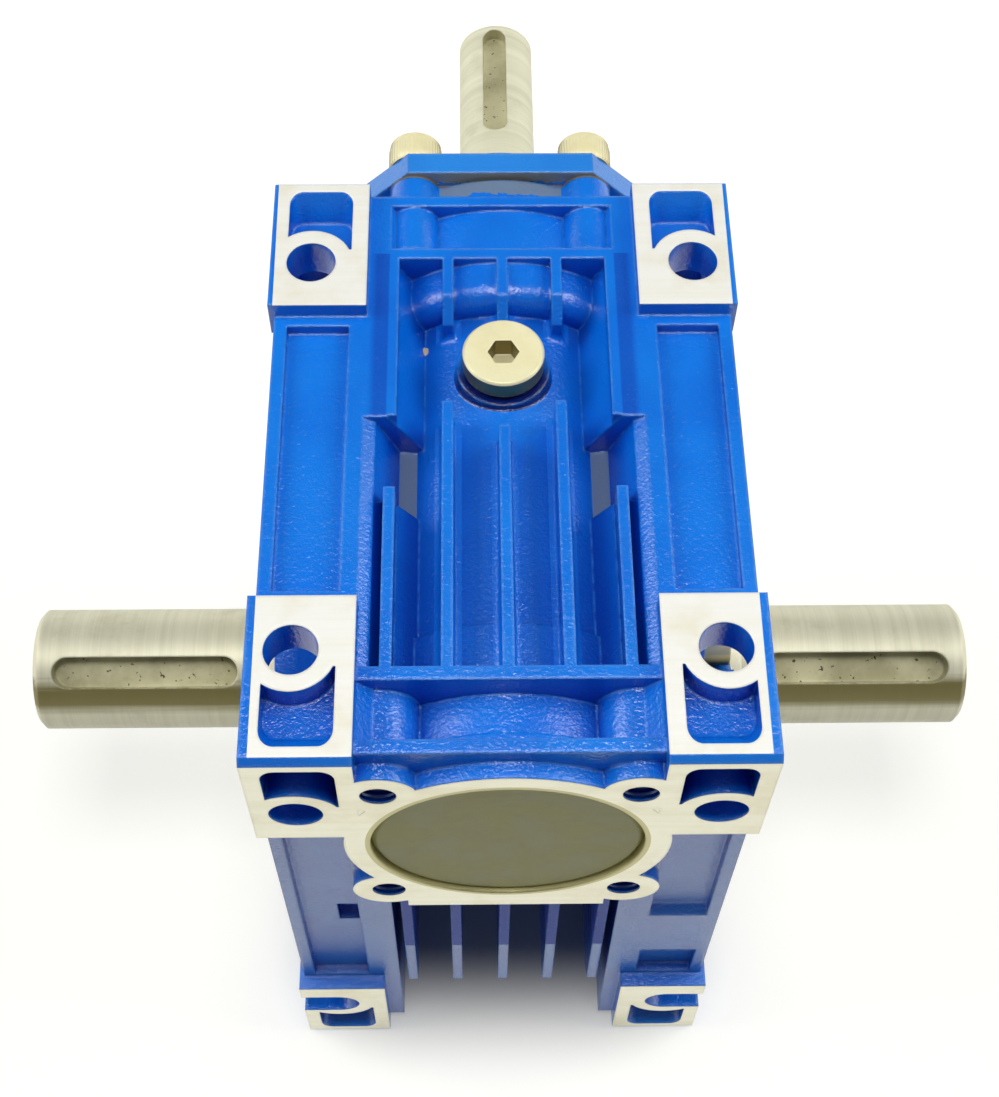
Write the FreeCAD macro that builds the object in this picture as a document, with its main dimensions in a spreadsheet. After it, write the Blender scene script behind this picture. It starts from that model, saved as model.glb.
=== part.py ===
import FreeCAD, Part
import Sketcher
import math
import os
import re

# Worm gear reducer with a plain input shaft and a double-ended output shaft.
# Frame: the origin is the centre of the foot pattern on the base plane, X runs along the output
# axis, Y along the worm axis towards the input shaft, and Z is up. Everything is in millimetres.

doc = FreeCAD.newDocument("worm_gear_reducer")

driving_sizes = {
    # Worm and wheel teeth
    "gear_module": 2.5,
    "wheel_teeth": 30,
    "worm_pitch_diameter": 25,
    "pressure_angle": 20,
    "tooth_backlash": 0.4,
    "tip_clearance": 0.5,
    "wheel_face_width": 20,
    "worm_turns": 4.5,
    "rim_bore": 56,
    # Casting envelope and walls
    "body_length": 120,
    "body_width": 85,
    "output_height": 60,
    "worm_to_top": 34,
    "core_width": 51,
    "web_thickness": 4,
    "wheel_clearance": 3.25,
    "drum_wall": 3.5,
    "flange_land": 5.5,
    # Mounting pads at the eight corners, and the rails between them
    "pad_raise": 3,
    "pad_thickness": 8,
    "pad_length": 30,
    "pad_gap": 49.4,
    "pad_bevel": 1.2,
    "pad_corner": 7,
    "rail_inset": 1,
    "rail_recess": 2,
    "rail_overlap": 0.5,
    "rail_margin": 2.4,
    "mount_hole": 9,
    "foot_hole": 8.5,
    "mount_spacing_x": 70,
    "mount_spacing_y": 80,
    "face_hole_inset": 20,
    "pocket_depth": 5,
    "pocket_margin": 3,
    "pocket_rounding": 2.5,
    "pocket_stop": 3,
    "hole_land": 3,
    "end_recess_low": 31,
    "end_recess_high": 114,
    "short_recess_low": 67,
    "low_pocket_high": 44.5,
    "rail_window_width": 4.3,
    "rail_window_low": 59.5,
    "rail_window_high": 67.6,
    # Worm tunnel and bearing seats
    "tunnel_bore": 36,
    "tunnel_wall": 7,
    "rear_bearing_bore": 20,
    "rear_bearing_outer": 47,
    "rear_bearing_width": 14,
    "rear_bearing_inset": 10,
    "rear_seat_wall": 2.5,
    "seat_shoulder": 5,
    "input_bearing_bore": 25,
    "input_bearing_outer": 52,
    "input_bearing_width": 15,
    "input_bearing_inset": 7,
    "input_seat_wall": 4,
    "input_seat_rounding": 4,
    # Front ring with its four tapped lobes
    "ring_width": 4.5,
    "ring_depth": 8,
    "lobe_circle": 60,
    "lobe_radius": 6.5,
    "lobe_depth": 16,
    "lobe_thread": 6,
    # Valley walls, cross walls and fins on top and at the ends
    "lip_width": 2.3,
    "lip_drop": 1.5,
    "shelf_side": 18.8,
    "shelf_width": 4,
    "shelf_height": 20,
    "shelf_fall": 0.6,
    "flank_rise": 5,
    "far_rail_side": 20.7,
    "far_crease": 14.1,
    "far_step": 7.5,
    "wall_thickness": 2.5,
    "near_wall_inset": 17.2,
    "far_wall_inset": 15.5,
    "end_wall_inset": 4,
    "fin_thickness": 2,
    "fin_pitch": 10,
    "fin_slope": 4,
    "side_fin_reach": -7,
    "middle_fin_reach": 11,
    "centre_fin_reach": 5.7,
    "far_fin_reach": 7.8,
    "end_fin_pitch": 9.4,
    "end_fin_low": 22,
    "end_fin_slope": 5,
    # Input end
    "neck_length": 3.5,
    "neck_margin": 3.5,
    "gasket_thickness": 0.5,
    "cover_plate": 5,
    "cover_size": 63,
    "cover_corner": 13.8,
    "cover_bolt_spacing_x": 33,
    "cover_bolt_spacing_z": 52,
    "cover_boss_radius": 4.8,
    "cover_boss_length": 17.5,
    "cover_bolt": 6,
    "cover_bolt_length": 16,
    "nose_length": 11,
    "nose_wall": 4,
    "nose_flare": 4.5,
    "input_seal_outer": 32,
    "input_seal_width": 7,
    # Worm and input shaft
    "seal_journal": 20,
    "input_shaft_diameter": 16,
    "input_shaft_length": 40,
    "input_shaft_reach": 130,
    "input_key_width": 5,
    "input_key_depth": 3,
    "input_key_length": 30,
    "input_key_end": 2,
    "input_key_lean": -3,
    # Output side
    "flange_pilot": 70,
    "pilot_height": 3.5,
    "flange_circle": 85,
    "flange_thread": 8,
    "flange_thread_depth": 10,
    "cover_disc": 11,
    "cover_ear": 5,
    "cover_ear_radius": 5.5,
    "cover_spigot": 5,
    "cover_screw_circle": 97,
    "cover_screw_count": 8,
    "cover_screw": 5,
    "cover_screw_length": 14,
    "hub_length": 92,
    "hub_bore": 25,
    "hub_journal": 40,
    "hub_shoulder": 44,
    "output_bearing_outer": 68,
    "output_bearing_width": 15,
    "output_bearing_inset": 22,
    "output_seal_outer": 62,
    "output_seal_width": 8,
    "output_shaft_length": 192,
    "output_chamfer": 1,
    "output_key_width": 6.3,
    "output_key_depth": 3.5,
    "output_key_length": 38,
    "output_key_end": 4,
    "hub_key_length": 50,
    "hub_key_height": 6,
    "output_key_lean": 31,
    "circlip_thickness": 1.2,
    "circlip_depth": 0.55,
    "circlip_width": 3,
    # Worm circlip and end cap
    "worm_circlip_thickness": 1.75,
    "worm_circlip_depth": 1.25,
    "worm_circlip_width": 4.5,
    "cap_recess": 0.8,
    "cap_length": 6,
    "cap_wall": 2.5,
    "cap_rounding": 1,
    # Filler plug
    "plug_offset": 21.75,
    "plug_head": 14.8,
    "plug_head_height": 3.7,
    "plug_thread": 10,
    "plug_thread_length": 7,
    "plug_socket": 5,
    "plug_washer_thickness": 1.2,
    "plug_washer_radius": 6.6,
    "plug_chamfer": 0.4,
    "plug_boss_radius": 8.5,
    "plug_boss_height": 26,
    # Rolling bearings and clearances
    "ball_share": 0.3,
    "ball_play": 0.08,
    "shoulder_share": 0.58,
    "slip_gap": 0.02,
    "thread_gap": 0.05,
    "seal_gap": 0.03,
    "screw_clearance": 0.3,
}

# Sizes that follow from the driving ones
worked_sizes = {
    "worm_height": "output_height + (gear_module * wheel_teeth + worm_pitch_diameter) / 2",
    "body_top": "worm_height + worm_to_top",
    "rail_level": "body_top - pad_raise",
    "half_width": "body_width / 2",
    "half_length": "body_length / 2",
    "rail_side": "half_width - rail_inset",
    "rail_end": "half_length - pad_raise",
    "frame_end": "half_length - pad_thickness",
    "core_side": "core_width / 2",
    "web_inside": "core_side - web_thickness",
    "pad_side": "pad_gap / 2",
    "hole_x": "mount_spacing_x / 2",
    "hole_y": "mount_spacing_y / 2",
    "upper_hole": "body_top - face_hole_inset",
    "lower_hole": "face_hole_inset",
    "land_radius": "mount_hole / 2 + hole_land",
    "wheel_pitch_radius": "gear_module * wheel_teeth / 2",
    "wheel_tip": "wheel_pitch_radius + 1.5 * gear_module",
    "chamber_radius": "wheel_tip + wheel_clearance",
    "drum_radius": "chamber_radius + drum_wall",
    "flange_radius": "chamber_radius + flange_land",
    "tunnel_radius": "tunnel_bore / 2 + tunnel_wall",
    "rear_seat": "rear_bearing_outer / 2",
    "rear_housing": "rear_seat + rear_seat_wall",
    "rear_face": "-half_length",
    "rear_bearing_out": "rear_face + rear_bearing_inset",
    "rear_bearing_in": "rear_bearing_out + rear_bearing_width",
    "input_seat": "input_bearing_outer / 2",
    "input_housing": "input_seat + input_seat_wall",
    "input_face": "half_length + neck_length",
    "input_bearing_out": "input_face - input_bearing_inset",
    "input_bearing_in": "input_bearing_out - input_bearing_width",
    "cover_inside": "input_face + gasket_thickness",
    "cover_outside": "cover_inside + cover_plate",
    "nose_end": "cover_outside + nose_length",
    "input_seal_in": "nose_end - input_seal_width - 0.5",
    "bolt_x": "cover_bolt_spacing_x / 2",
    "bolt_rise": "cover_bolt_spacing_z / 2",
    "ring_radius": "rear_seat + ring_width",
    "lobe_offset": "lobe_circle / 2 * cos(45)",
    "disc_inside": "half_width - cover_disc",
    "output_bearing_out": "output_bearing_inset + output_bearing_width",
    "output_seal_in": "output_bearing_out + 1",
    "pilot_end": "half_width + pilot_height",
    "rail_inner": "core_side - rail_overlap",
    "lip_side": "rail_inner - lip_width",
    "shelf_level": "worm_height + shelf_height",
    "plug_seat": "worm_height + plug_boss_height",
    "near_wall": "-half_length + near_wall_inset",
    "far_wall": "half_length - far_wall_inset",
    "shoulder_fin_end": "plug_offset + plug_boss_radius + 0.5",
    "neck_half": "cover_size / 2 - neck_margin",
    "o_ring": "cover_spigot / 5",
}

sheet = doc.addObject("Spreadsheet::Sheet", "Sizes")
for row, (name, size) in enumerate(driving_sizes.items(), start=1):
    sheet.set(f"A{row}", name)
    sheet.set(f"B{row}", str(size))
    sheet.setAlias(f"B{row}", name)
doc.recompute()

worked = doc.addObject("App::VarSet", "Worked")
worked.addProperty("App::PropertyFloat", "number")


def linked(formula):
    """A formula with every size in it replaced by its cell of the sheet."""
    def cell(match):
        word = match.group(0)
        if word in worked_sizes:
            return f"({linked(worked_sizes[word])})"
        return f"Sizes.{word}" if word in driving_sizes else word
    return re.sub(r"[a-z][a-z_]*[a-z]", cell, formula)


def number(formula):
    """The present value of a formula."""
    worked.setExpression("number", linked(formula))
    worked.recompute()
    return worked.number


def bind(item, **formulas):
    """Ties properties of a document object to the sheet."""
    for place, formula in formulas.items():
        item.setExpression(place.replace("_at_", "."), linked(formula))


def minus(formula):
    """The same size on the other side of the origin."""
    return f"-({formula})"


def span(one, two):
    """Both ends of a stretch and its length."""
    return one, f"({two}) - ({one})"


# How a solid that grows along Z is turned to grow along another axis
turn_to_axis = {
    "x": FreeCAD.Rotation(FreeCAD.Vector(0, 1, 0), 90),
    "y": FreeCAD.Rotation(FreeCAD.Vector(1, 0, 0), -90),
    "z": FreeCAD.Rotation(),
}
# How a sketch is turned so that its two directions are the named ones
turn_to_plane = {
    "xy": FreeCAD.Rotation(),
    "xz": FreeCAD.Rotation(FreeCAD.Vector(1, 0, 0), 90),
    "yz": FreeCAD.Rotation(FreeCAD.Vector(1, 1, 1), 120),
}
off_plane = {"xy": "z", "xz": "y", "yz": "x"}
axis_vector = {
    "x": FreeCAD.Vector(1, 0, 0),
    "y": FreeCAD.Vector(0, 1, 0),
    "z": FreeCAD.Vector(0, 0, 1),
}


def block(name, x, y, z):
    """A box between two formulas on each axis."""
    item = doc.addObject("Part::Box", name)
    for axis, size, ends in (("x", "Length", x), ("y", "Width", y), ("z", "Height", z)):
        start, length = span(*ends)
        bind(item, **{size: length, f"Placement_at_Base_at_{axis}": start})
    return item


def rod(name, axis, centre, ends, radius):
    """A cylinder along one axis; centre gives the other two coordinates in x, y, z order."""
    item = doc.addObject("Part::Cylinder", name)
    item.Placement = FreeCAD.Placement(FreeCAD.Vector(), turn_to_axis[axis])
    start, length = span(*ends)
    others = [letter for letter in "xyz" if letter != axis]
    bind(item, Radius=radius, Height=length)
    for letter, formula in [(axis, start), *zip(others, centre)]:
        bind(item, **{f"Placement_at_Base_at_{letter}": formula})
    return item


def hexagon(name, axis, centre, ends, across_flats):
    """A hexagonal prism along one axis, for wrench sockets."""
    item = doc.addObject("Part::Prism", name)
    item.Polygon = 6
    item.Placement = FreeCAD.Placement(FreeCAD.Vector(), turn_to_axis[axis])
    start, length = span(*ends)
    others = [letter for letter in "xyz" if letter != axis]
    bind(item, Circumradius=f"({across_flats}) / 2 / cos(30)", Height=length)
    for letter, formula in [(axis, start), *zip(others, centre)]:
        bind(item, **{f"Placement_at_Base_at_{letter}": formula})
    return item


def draw_polygon(sketch, points):
    """A closed outline whose every corner is dimensioned from the sheet."""
    corners = [FreeCAD.Vector(number(u), number(v), 0) for u, v in points]
    first = sketch.GeometryCount
    count = len(points)
    for index in range(count):
        line = Part.LineSegment(corners[index], corners[(index + 1) % count])
        sketch.addGeometry(line, False)
    for index in range(count):
        here = first + index
        after = first + (index + 1) % count
        sketch.addConstraint(Sketcher.Constraint("Coincident", here, 2, after, 1))
    for index, corner in enumerate(points):
        for kind, which in (("DistanceX", 0), ("DistanceY", 1)):
            rule = Sketcher.Constraint(kind, -1, 1, first + index, 1, corners[index][which])
            place = sketch.addConstraint(rule)
            sketch.setExpression(f"Constraints[{place}]", linked(corner[which]))


def draw_slot(sketch, low, high, radius):
    """A slot with round ends along the sketch's second direction, centred on it."""
    start, end, round_end = number(low), number(high), number(radius)
    top = Part.Circle(FreeCAD.Vector(0, end, 0), FreeCAD.Vector(0, 0, 1), round_end)
    bottom = Part.Circle(FreeCAD.Vector(0, start, 0), FreeCAD.Vector(0, 0, 1), round_end)
    left = [FreeCAD.Vector(-round_end, end, 0), FreeCAD.Vector(-round_end, start, 0)]
    right = [FreeCAD.Vector(round_end, start, 0), FreeCAD.Vector(round_end, end, 0)]
    upper = sketch.addGeometry(Part.ArcOfCircle(top, 0, math.pi), False)
    down = sketch.addGeometry(Part.LineSegment(*left), False)
    lower = sketch.addGeometry(Part.ArcOfCircle(bottom, math.pi, 2 * math.pi), False)
    up = sketch.addGeometry(Part.LineSegment(*right), False)
    for one, two in ((upper, down), (down, lower), (lower, up), (up, upper)):
        sketch.addConstraint(Sketcher.Constraint("Tangent", one, 2, two, 1))
    sketch.addConstraint(Sketcher.Constraint("Equal", upper, lower))
    sketch.addConstraint(Sketcher.Constraint("PointOnObject", upper, 3, -2))
    sketch.addConstraint(Sketcher.Constraint("PointOnObject", lower, 3, -2))
    rules = (
        (Sketcher.Constraint("Radius", upper, round_end), radius),
        (Sketcher.Constraint("DistanceY", -1, 1, upper, 3, end), high),
        (Sketcher.Constraint("DistanceY", -1, 1, lower, 3, start), low),
    )
    for rule, formula in rules:
        place = sketch.addConstraint(rule)
        sketch.setExpression(f"Constraints[{place}]", linked(formula))


def prism(name, plane, outlines, ends):
    """Closed outlines in one plane, extruded between two formulas across it."""
    sketch = doc.addObject("Sketcher::SketchObject", f"{name}_outline")
    sketch.Placement = FreeCAD.Placement(FreeCAD.Vector(), turn_to_plane[plane])
    for points in outlines:
        draw_polygon(sketch, points)
    start, length = span(*ends)
    bind(sketch, **{f"Placement_at_Base_at_{off_plane[plane]}": start})
    item = doc.addObject("Part::Extrusion", name)
    item.Base = sketch
    item.DirMode = "Custom"
    item.Dir = axis_vector[off_plane[plane]]
    item.Solid = True
    bind(item, LengthFwd=length)
    return item


def rectangle(u, v):
    """The four corners of a rectangle between two formulas each way."""
    return [(u[0], v[0]), (u[1], v[0]), (u[1], v[1]), (u[0], v[1])]


def both_sides(name, item, axis):
    """A piece and its mirror image across the plane through the origin."""
    mirror = doc.addObject("Part::Mirroring", f"{name}_mirror")
    mirror.Source = item
    mirror.Normal = axis_vector[axis]
    return [item, mirror]


def joined(name, items):
    """Several solids fused into one."""
    item = doc.addObject("Part::MultiFuse", name)
    item.Shapes = items
    return item


def cut_away(name, base, tool):
    """One solid with another taken out of it."""
    item = doc.addObject("Part::Cut", name)
    item.Base = base
    item.Tool = tool
    return item


def grouped(name, items):
    """Separate solids that share one node."""
    item = doc.addObject("Part::Compound", name)
    item.Links = items
    return item


def rounded(name, base, radius, chosen):
    """Rounds the edges that a test on their ends chooses."""
    doc.recompute()
    size = number(radius)
    edges = []
    for index, edge in enumerate(base.Shape.Edges, start=1):
        ends = [vertex.Point for vertex in edge.Vertexes]
        if chosen(ends[0], ends[-1]):
            edges.append((index, size, size))
    item = doc.addObject("Part::Fillet", name)
    item.Base = base
    item.Edges = edges
    return item


def origin_plane(body, role):
    """One of a body's own reference planes."""
    for feature in body.Origin.OriginFeatures:
        if feature.Role == role:
            return feature
    raise ValueError(role)


def turned(name, axis, profile, height=None, plane_turn=0):
    """A body turned about an axis; the profile lists (radius, place along the axis).

    The plane of the profile stands plane_turn degrees round the axis.
    """
    body = doc.addObject("PartDesign::Body", name)
    sketch = body.newObject("Sketcher::SketchObject", f"{name}_profile")
    sketch.AttachmentSupport = [(origin_plane(body, "XY_Plane"), "")]
    sketch.MapMode = "FlatFace"
    plane = FreeCAD.Rotation(axis_vector["y"], plane_turn)
    sketch.AttachmentOffset = FreeCAD.Placement(FreeCAD.Vector(), plane)
    draw_polygon(sketch, profile)
    turning = body.newObject("PartDesign::Revolution", f"{name}_turning")
    turning.Profile = sketch
    turning.ReferenceAxis = (sketch, ["V_Axis"])
    turning.Angle = 360
    body.Placement = FreeCAD.Placement(FreeCAD.Vector(), body_turn[axis])
    if height:
        bind(body, Placement_at_Base_at_z=height)
    return body


# How a body turned about its own Y axis is laid along another axis
body_turn = {
    "x": FreeCAD.Rotation(FreeCAD.Vector(0, 0, 1), -90),
    "y": FreeCAD.Rotation(),
    "z": FreeCAD.Rotation(FreeCAD.Vector(1, 0, 0), 90),
}


def add_keyway(body, name, ends, width, floor):
    """Mills a round-ended keyway into a turned body, on its own +Z side."""
    sketch = body.newObject("Sketcher::SketchObject", f"{name}_slot")
    sketch.AttachmentSupport = [(origin_plane(body, "XY_Plane"), "")]
    sketch.MapMode = "FlatFace"
    bind(sketch, AttachmentOffset_at_Base_at_z=floor)
    half = f"({width}) / 2"
    draw_slot(sketch, f"({ends[0]}) + {half}", f"({ends[1]}) - {half}", half)
    pocket = body.newObject("PartDesign::Pocket", name)
    pocket.Profile = sketch
    pocket.Reversed = True
    bind(pocket, Length=floor)
    return pocket


def cap_screw(name, axis, centre, seat, outward, thread, length):
    """A socket cap screw: head, shank and hexagon socket, with its head towards outward."""
    head_end = f"({seat}) + ({outward}) * ({thread})"
    shank_end = f"({seat}) - ({outward}) * ({length})"
    socket_end = f"({seat}) + ({outward}) * ({thread}) / 2"
    past_head = f"({head_end}) + ({outward})"
    low = (lambda one, two: (one, two) if outward == "1" else (two, one))
    radius = f"({thread}) / 2"
    head = rod(f"{name}_head", axis, centre, low(seat, head_end), f"({thread}) * 0.833")
    shank = rod(f"{name}_shank", axis, centre, low(shank_end, seat), radius)
    socket = hexagon(f"{name}_socket", axis, centre, low(socket_end, past_head), f"({thread}) * 0.833")
    return cut_away(name, joined(f"{name}_blank", [head, shank]), socket)


def side_frame():
    """The frame of rails round each side of the casting, closed inwards by a web."""
    rim = rectangle((minus("rail_end"), "rail_end"), ("pad_raise", "rail_level"))
    inner_top = "body_top - pad_thickness"
    opening = rectangle((minus("frame_end"), "frame_end"), ("pad_thickness", inner_top))
    rails = prism("side_rails", "yz", [rim, opening], ("rail_inner", "rail_side"))
    web_outline = rectangle((minus("rail_end"), "rail_end"), ("pad_raise", "worm_height"))
    web = prism("side_web", "yz", [web_outline], ("web_inside", "core_side"))
    return both_sides("side_frame", joined("side_frame", [rails, web]), "x")


def corner_outline(front, top):
    """An L of pad thickness with a thickened inside corner, at one corner of the side view."""
    out = "half_length" if front == "1" else "-half_length"
    base = "body_top" if top == "1" else "0"

    def corner(along, rise):
        return f"{out} - ({front}) * ({along})", f"{base} - ({top}) * ({rise})"

    return [
        corner("pad_bevel", "0"),
        corner("pad_length", "0"),
        corner("pad_length", "pad_thickness"),
        corner("pad_thickness + pad_corner", "pad_thickness"),
        corner("pad_thickness", "pad_thickness + pad_corner"),
        corner("pad_thickness", "pad_length"),
        corner("0", "pad_length"),
        corner("0", "pad_bevel"),
    ]


def corner_pads():
    """The eight corner blocks whose machined faces carry the mounting holes."""
    outlines = [corner_outline(front, top) for front in ("1", "-1") for top in ("1", "-1")]
    pads = prism("side_pads", "yz", outlines, ("pad_side", "half_width"))
    return both_sides("corner_pads", pads, "x")


def valley_walls():
    """Walls from the rails down to the worm tunnel: plain slants at the ring, lipped along the
    near fins, and a thicker slant along the far fins."""
    foot = "worm_height"
    edge = [("core_side", foot), ("core_side", "rail_level"), ("rail_inner", "rail_level")]
    shelf_end = "shelf_side - shelf_width"
    plain = edge + [(shelf_end, "shelf_level"), (shelf_end, foot)]
    lipped = edge + [("lip_side", "rail_level - lip_drop"), ("shelf_side", "shelf_level"),
                     (shelf_end, "shelf_level - shelf_fall"), (shelf_end, foot)]
    flank_top = "shelf_level + flank_rise"
    flank_side = "2 * fin_pitch"
    flank = [(flank_side, foot), (flank_side, flank_top), ("shelf_side", flank_top),
             (shelf_end, "shelf_level - shelf_fall"), (shelf_end, foot)]
    far = edge + [("far_rail_side", "rail_level"), ("far_crease", "shelf_level"), ("far_crease", foot)]
    walls = [
        prism("valley_front", "xz", [plain], (minus("rail_end"), "near_wall")),
        prism("valley_near", "xz", [lipped], ("near_wall - wall_thickness / 4", "rail_end")),
        prism("valley_flank", "xz", [flank], ("near_wall - wall_thickness / 4", "side_fin_reach")),
        prism("valley_far", "xz", [far], ("far_step", "rail_end")),
    ]
    return both_sides("valley_wall", joined("valley_wall", walls), "x")


def top_fin(name, place, ends, slope="0"):
    """A cooling fin along the tunnel; the low end may rise in a slope."""
    foot = "worm_height + tunnel_bore / 2"
    low, high = ends
    points = [(low, foot), (high, foot), (high, "rail_level"), (f"({low}) + {slope}", "rail_level")]
    if slope != "0":
        points.append((low, f"rail_level - {slope}"))
    half = "fin_thickness / 2"
    return prism(name, "yz", [points], (f"({place}) - {half}", f"({place}) + {half}"))


def top_fins():
    """Two groups of fins, from the near wall and from the far wall."""
    fins = []
    near_ends = {-2: "side_fin_reach", -1: "middle_fin_reach", 0: "centre_fin_reach",
                 1: "middle_fin_reach", 2: "side_fin_reach"}
    for step, end in near_ends.items():
        place = f"{step} * fin_pitch"
        fins.append(top_fin(f"near_fin_{step + 3}", place, ("near_wall", end)))
        if abs(step) == 2:
            fins.append(top_fin(f"far_fin_{step + 3}", place, ("far_fin_reach", "far_wall")))
        else:
            ends = ("shoulder_fin_end", "far_wall")
            fins.append(top_fin(f"far_fin_{step + 3}", place, ends, "fin_slope"))
    return fins


def end_fins():
    """Upright fins below the worm line, on the capped end and on the input end."""
    fins = []
    low, high = "end_fin_low", "worm_height - ring_radius + wall_thickness"
    back = "drum_radius / 2"
    points = [("rail_end", high), ("rail_end", f"{low} + end_fin_slope"),
              ("rail_end - end_fin_slope", low), (back, low), (back, high)]
    mirrored = [(minus(u), v) for u, v in points]
    for step in range(-2, 3):
        middle = f"{step} * end_fin_pitch"
        ends = (f"{middle} - fin_thickness / 2", f"{middle} + fin_thickness / 2")
        fins.append(prism(f"input_end_fin_{step + 3}", "yz", [points], ends))
        fins.append(prism(f"capped_end_fin_{step + 3}", "yz", [mirrored], ends))
    return fins


def cross_walls():
    """Four upright walls that tie the two sides together across the top."""
    across = (minus("core_side"), "core_side")
    rise = ("worm_height", "rail_level")
    half = "wall_thickness / 2"
    stations = {
        "front_wall": (minus("rail_end"), minus("rail_end - wall_thickness")),
        "near_cross_wall": (f"near_wall - {half}", f"near_wall + {half}"),
        "far_cross_wall": (f"far_wall - {half}", f"far_wall + {half}"),
        "back_wall": ("half_length - end_wall_inset", "half_length - end_wall_inset + wall_thickness"),
    }
    return [block(name, across, place, rise) for name, place in stations.items()]


def octagon(half, corner):
    """A square outline about the worm axis with its corners cut off."""
    flat = f"({half}) - ({corner})"
    top, low = f"worm_height + {half}", f"worm_height - ({half})"
    high_flat, low_flat = f"worm_height + {flat}", f"worm_height - ({flat})"
    return [(flat, top), (minus(flat), top), (minus(half), high_flat), (minus(half), low_flat),
            (minus(flat), low), (flat, low), (half, low_flat), (half, high_flat)]


def worm_line(name, ends, radius):
    """A cylinder about the worm axis."""
    return rod(name, "y", ("0", "worm_height"), ends, radius)


def output_line(name, ends, radius):
    """A cylinder about the output axis."""
    return rod(name, "x", ("0", "output_height"), ends, radius)


def around_output(circle, angle):
    """A place on a circle about the output axis, as its y and z."""
    return (f"({circle}) / 2 * cos({angle})", f"output_height + ({circle}) / 2 * sin({angle})")


def around_worm():
    """The four places of the tapped lobes, as their x and z."""
    return [(f"{side} * lobe_offset", f"worm_height + {rise} * lobe_offset")
            for side in (-1, 1) for rise in (-1, 1)]


def bolt_places():
    """The four places of the input cover's bolts, as their x and z."""
    return [(f"{side} * bolt_x", f"worm_height + {rise} * bolt_rise")
            for side in (-1, 1) for rise in (-1, 1)]


cover_screw_angles = [22.5 + 45 * index for index in range(driving_sizes["cover_screw_count"])]
flange_angles = [45, 135, 225, 315]


def frame_metal():
    """The two side frames with their pads, and the walls that tie them together."""
    return joined("frame_metal", [*side_frame(), *corner_pads(), *valley_walls(), *cross_walls()])


def wheel_metal():
    """The drum round the wheel, its fixed flange and the seat of the side cover."""
    metal = [
        output_line("wheel_drum", (minus("core_side"), "core_side"), "drum_radius"),
        output_line("fixed_flange", (minus("half_width"), minus("web_inside")), "flange_radius"),
        output_line("fixed_pilot", (minus("pilot_end"), minus("half_width")), "flange_pilot / 2"),
        output_line("cover_seat", ("web_inside", "disc_inside"), "flange_radius"),
    ]
    ends = ("web_inside", "disc_inside")
    for angle in cover_screw_angles:
        place = around_output("cover_screw_circle", angle)
        metal.append(rod(f"screw_boss_{angle * 10:.0f}", "x", place, ends, "cover_ear_radius"))
    return joined("wheel_metal", metal)


def worm_metal():
    """The tunnel round the worm with both bearing seats, the ring, the lobes and the bosses."""
    seat_start = "input_bearing_in - tunnel_wall"
    far_seat = worm_line("input_seat_block", (seat_start, "input_face"), "input_housing")
    near_edge = number(seat_start)

    def on_near_edge(one, two):
        return abs(one.y - near_edge) < 0.01 and abs(two.y - near_edge) < 0.01

    neck_ends = ("half_length - end_wall_inset", "input_face")
    rear_ends = ("rear_face", "rear_bearing_in + seat_shoulder")
    plug_ends = ("worm_height + tunnel_bore / 2 + 1", "plug_seat")
    band_side = "lobe_offset - lobe_radius / 2"
    band_ends = ("rear_face", "rear_face + wall_thickness")
    band_rise = ("worm_height - lobe_circle / 2 + 0.5", "worm_height - lobe_offset")
    metal = [
        worm_line("rear_seat_block", rear_ends, "rear_housing"),
        worm_line("tunnel", ("rear_bearing_in", "input_bearing_in"), "tunnel_radius"),
        rounded("input_seat_rounded", far_seat, "input_seat_rounding", on_near_edge),
        worm_line("front_ring", ("rear_face", "rear_face + ring_depth"), "ring_radius"),
        prism("neck", "xz", [octagon("neck_half", "cover_corner")], neck_ends),
        rod("plug_boss", "z", ("0", "plug_offset"), plug_ends, "plug_boss_radius"),
        block("front_band", (minus(band_side), band_side), band_ends, band_rise),
    ]
    for index, place in enumerate(around_worm()):
        ends = ("rear_face", "rear_face + lobe_depth")
        metal.append(rod(f"front_lobe_{index}", "y", place, ends, "lobe_radius"))
    for index, place in enumerate(bolt_places()):
        ends = ("input_face - cover_boss_length", "input_face")
        metal.append(rod(f"bolt_boss_{index}", "y", place, ends, "cover_boss_radius"))
    return joined("worm_metal", metal)


def casting():
    """All the metal of the housing before it is bored and drilled."""
    body = joined("casting_body", [frame_metal(), wheel_metal(), worm_metal()])
    return joined("casting", [body, *top_fins(), *end_fins()])


def pad_pocket(name, outline, across, land):
    """A sunken pocket in a pad, rounded at its outer corners, with a land left about the hole."""
    pocket = prism(f"{name}_blank", "yz", [outline], across)

    def slanting(one, two):
        return abs(one.x - two.x) < 0.01 and abs(one.y - two.y) > 0.1 and abs(one.z - two.z) > 0.1

    return cut_away(name, rounded(f"{name}_round", pocket, "pocket_rounding", slanting), land)


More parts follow.
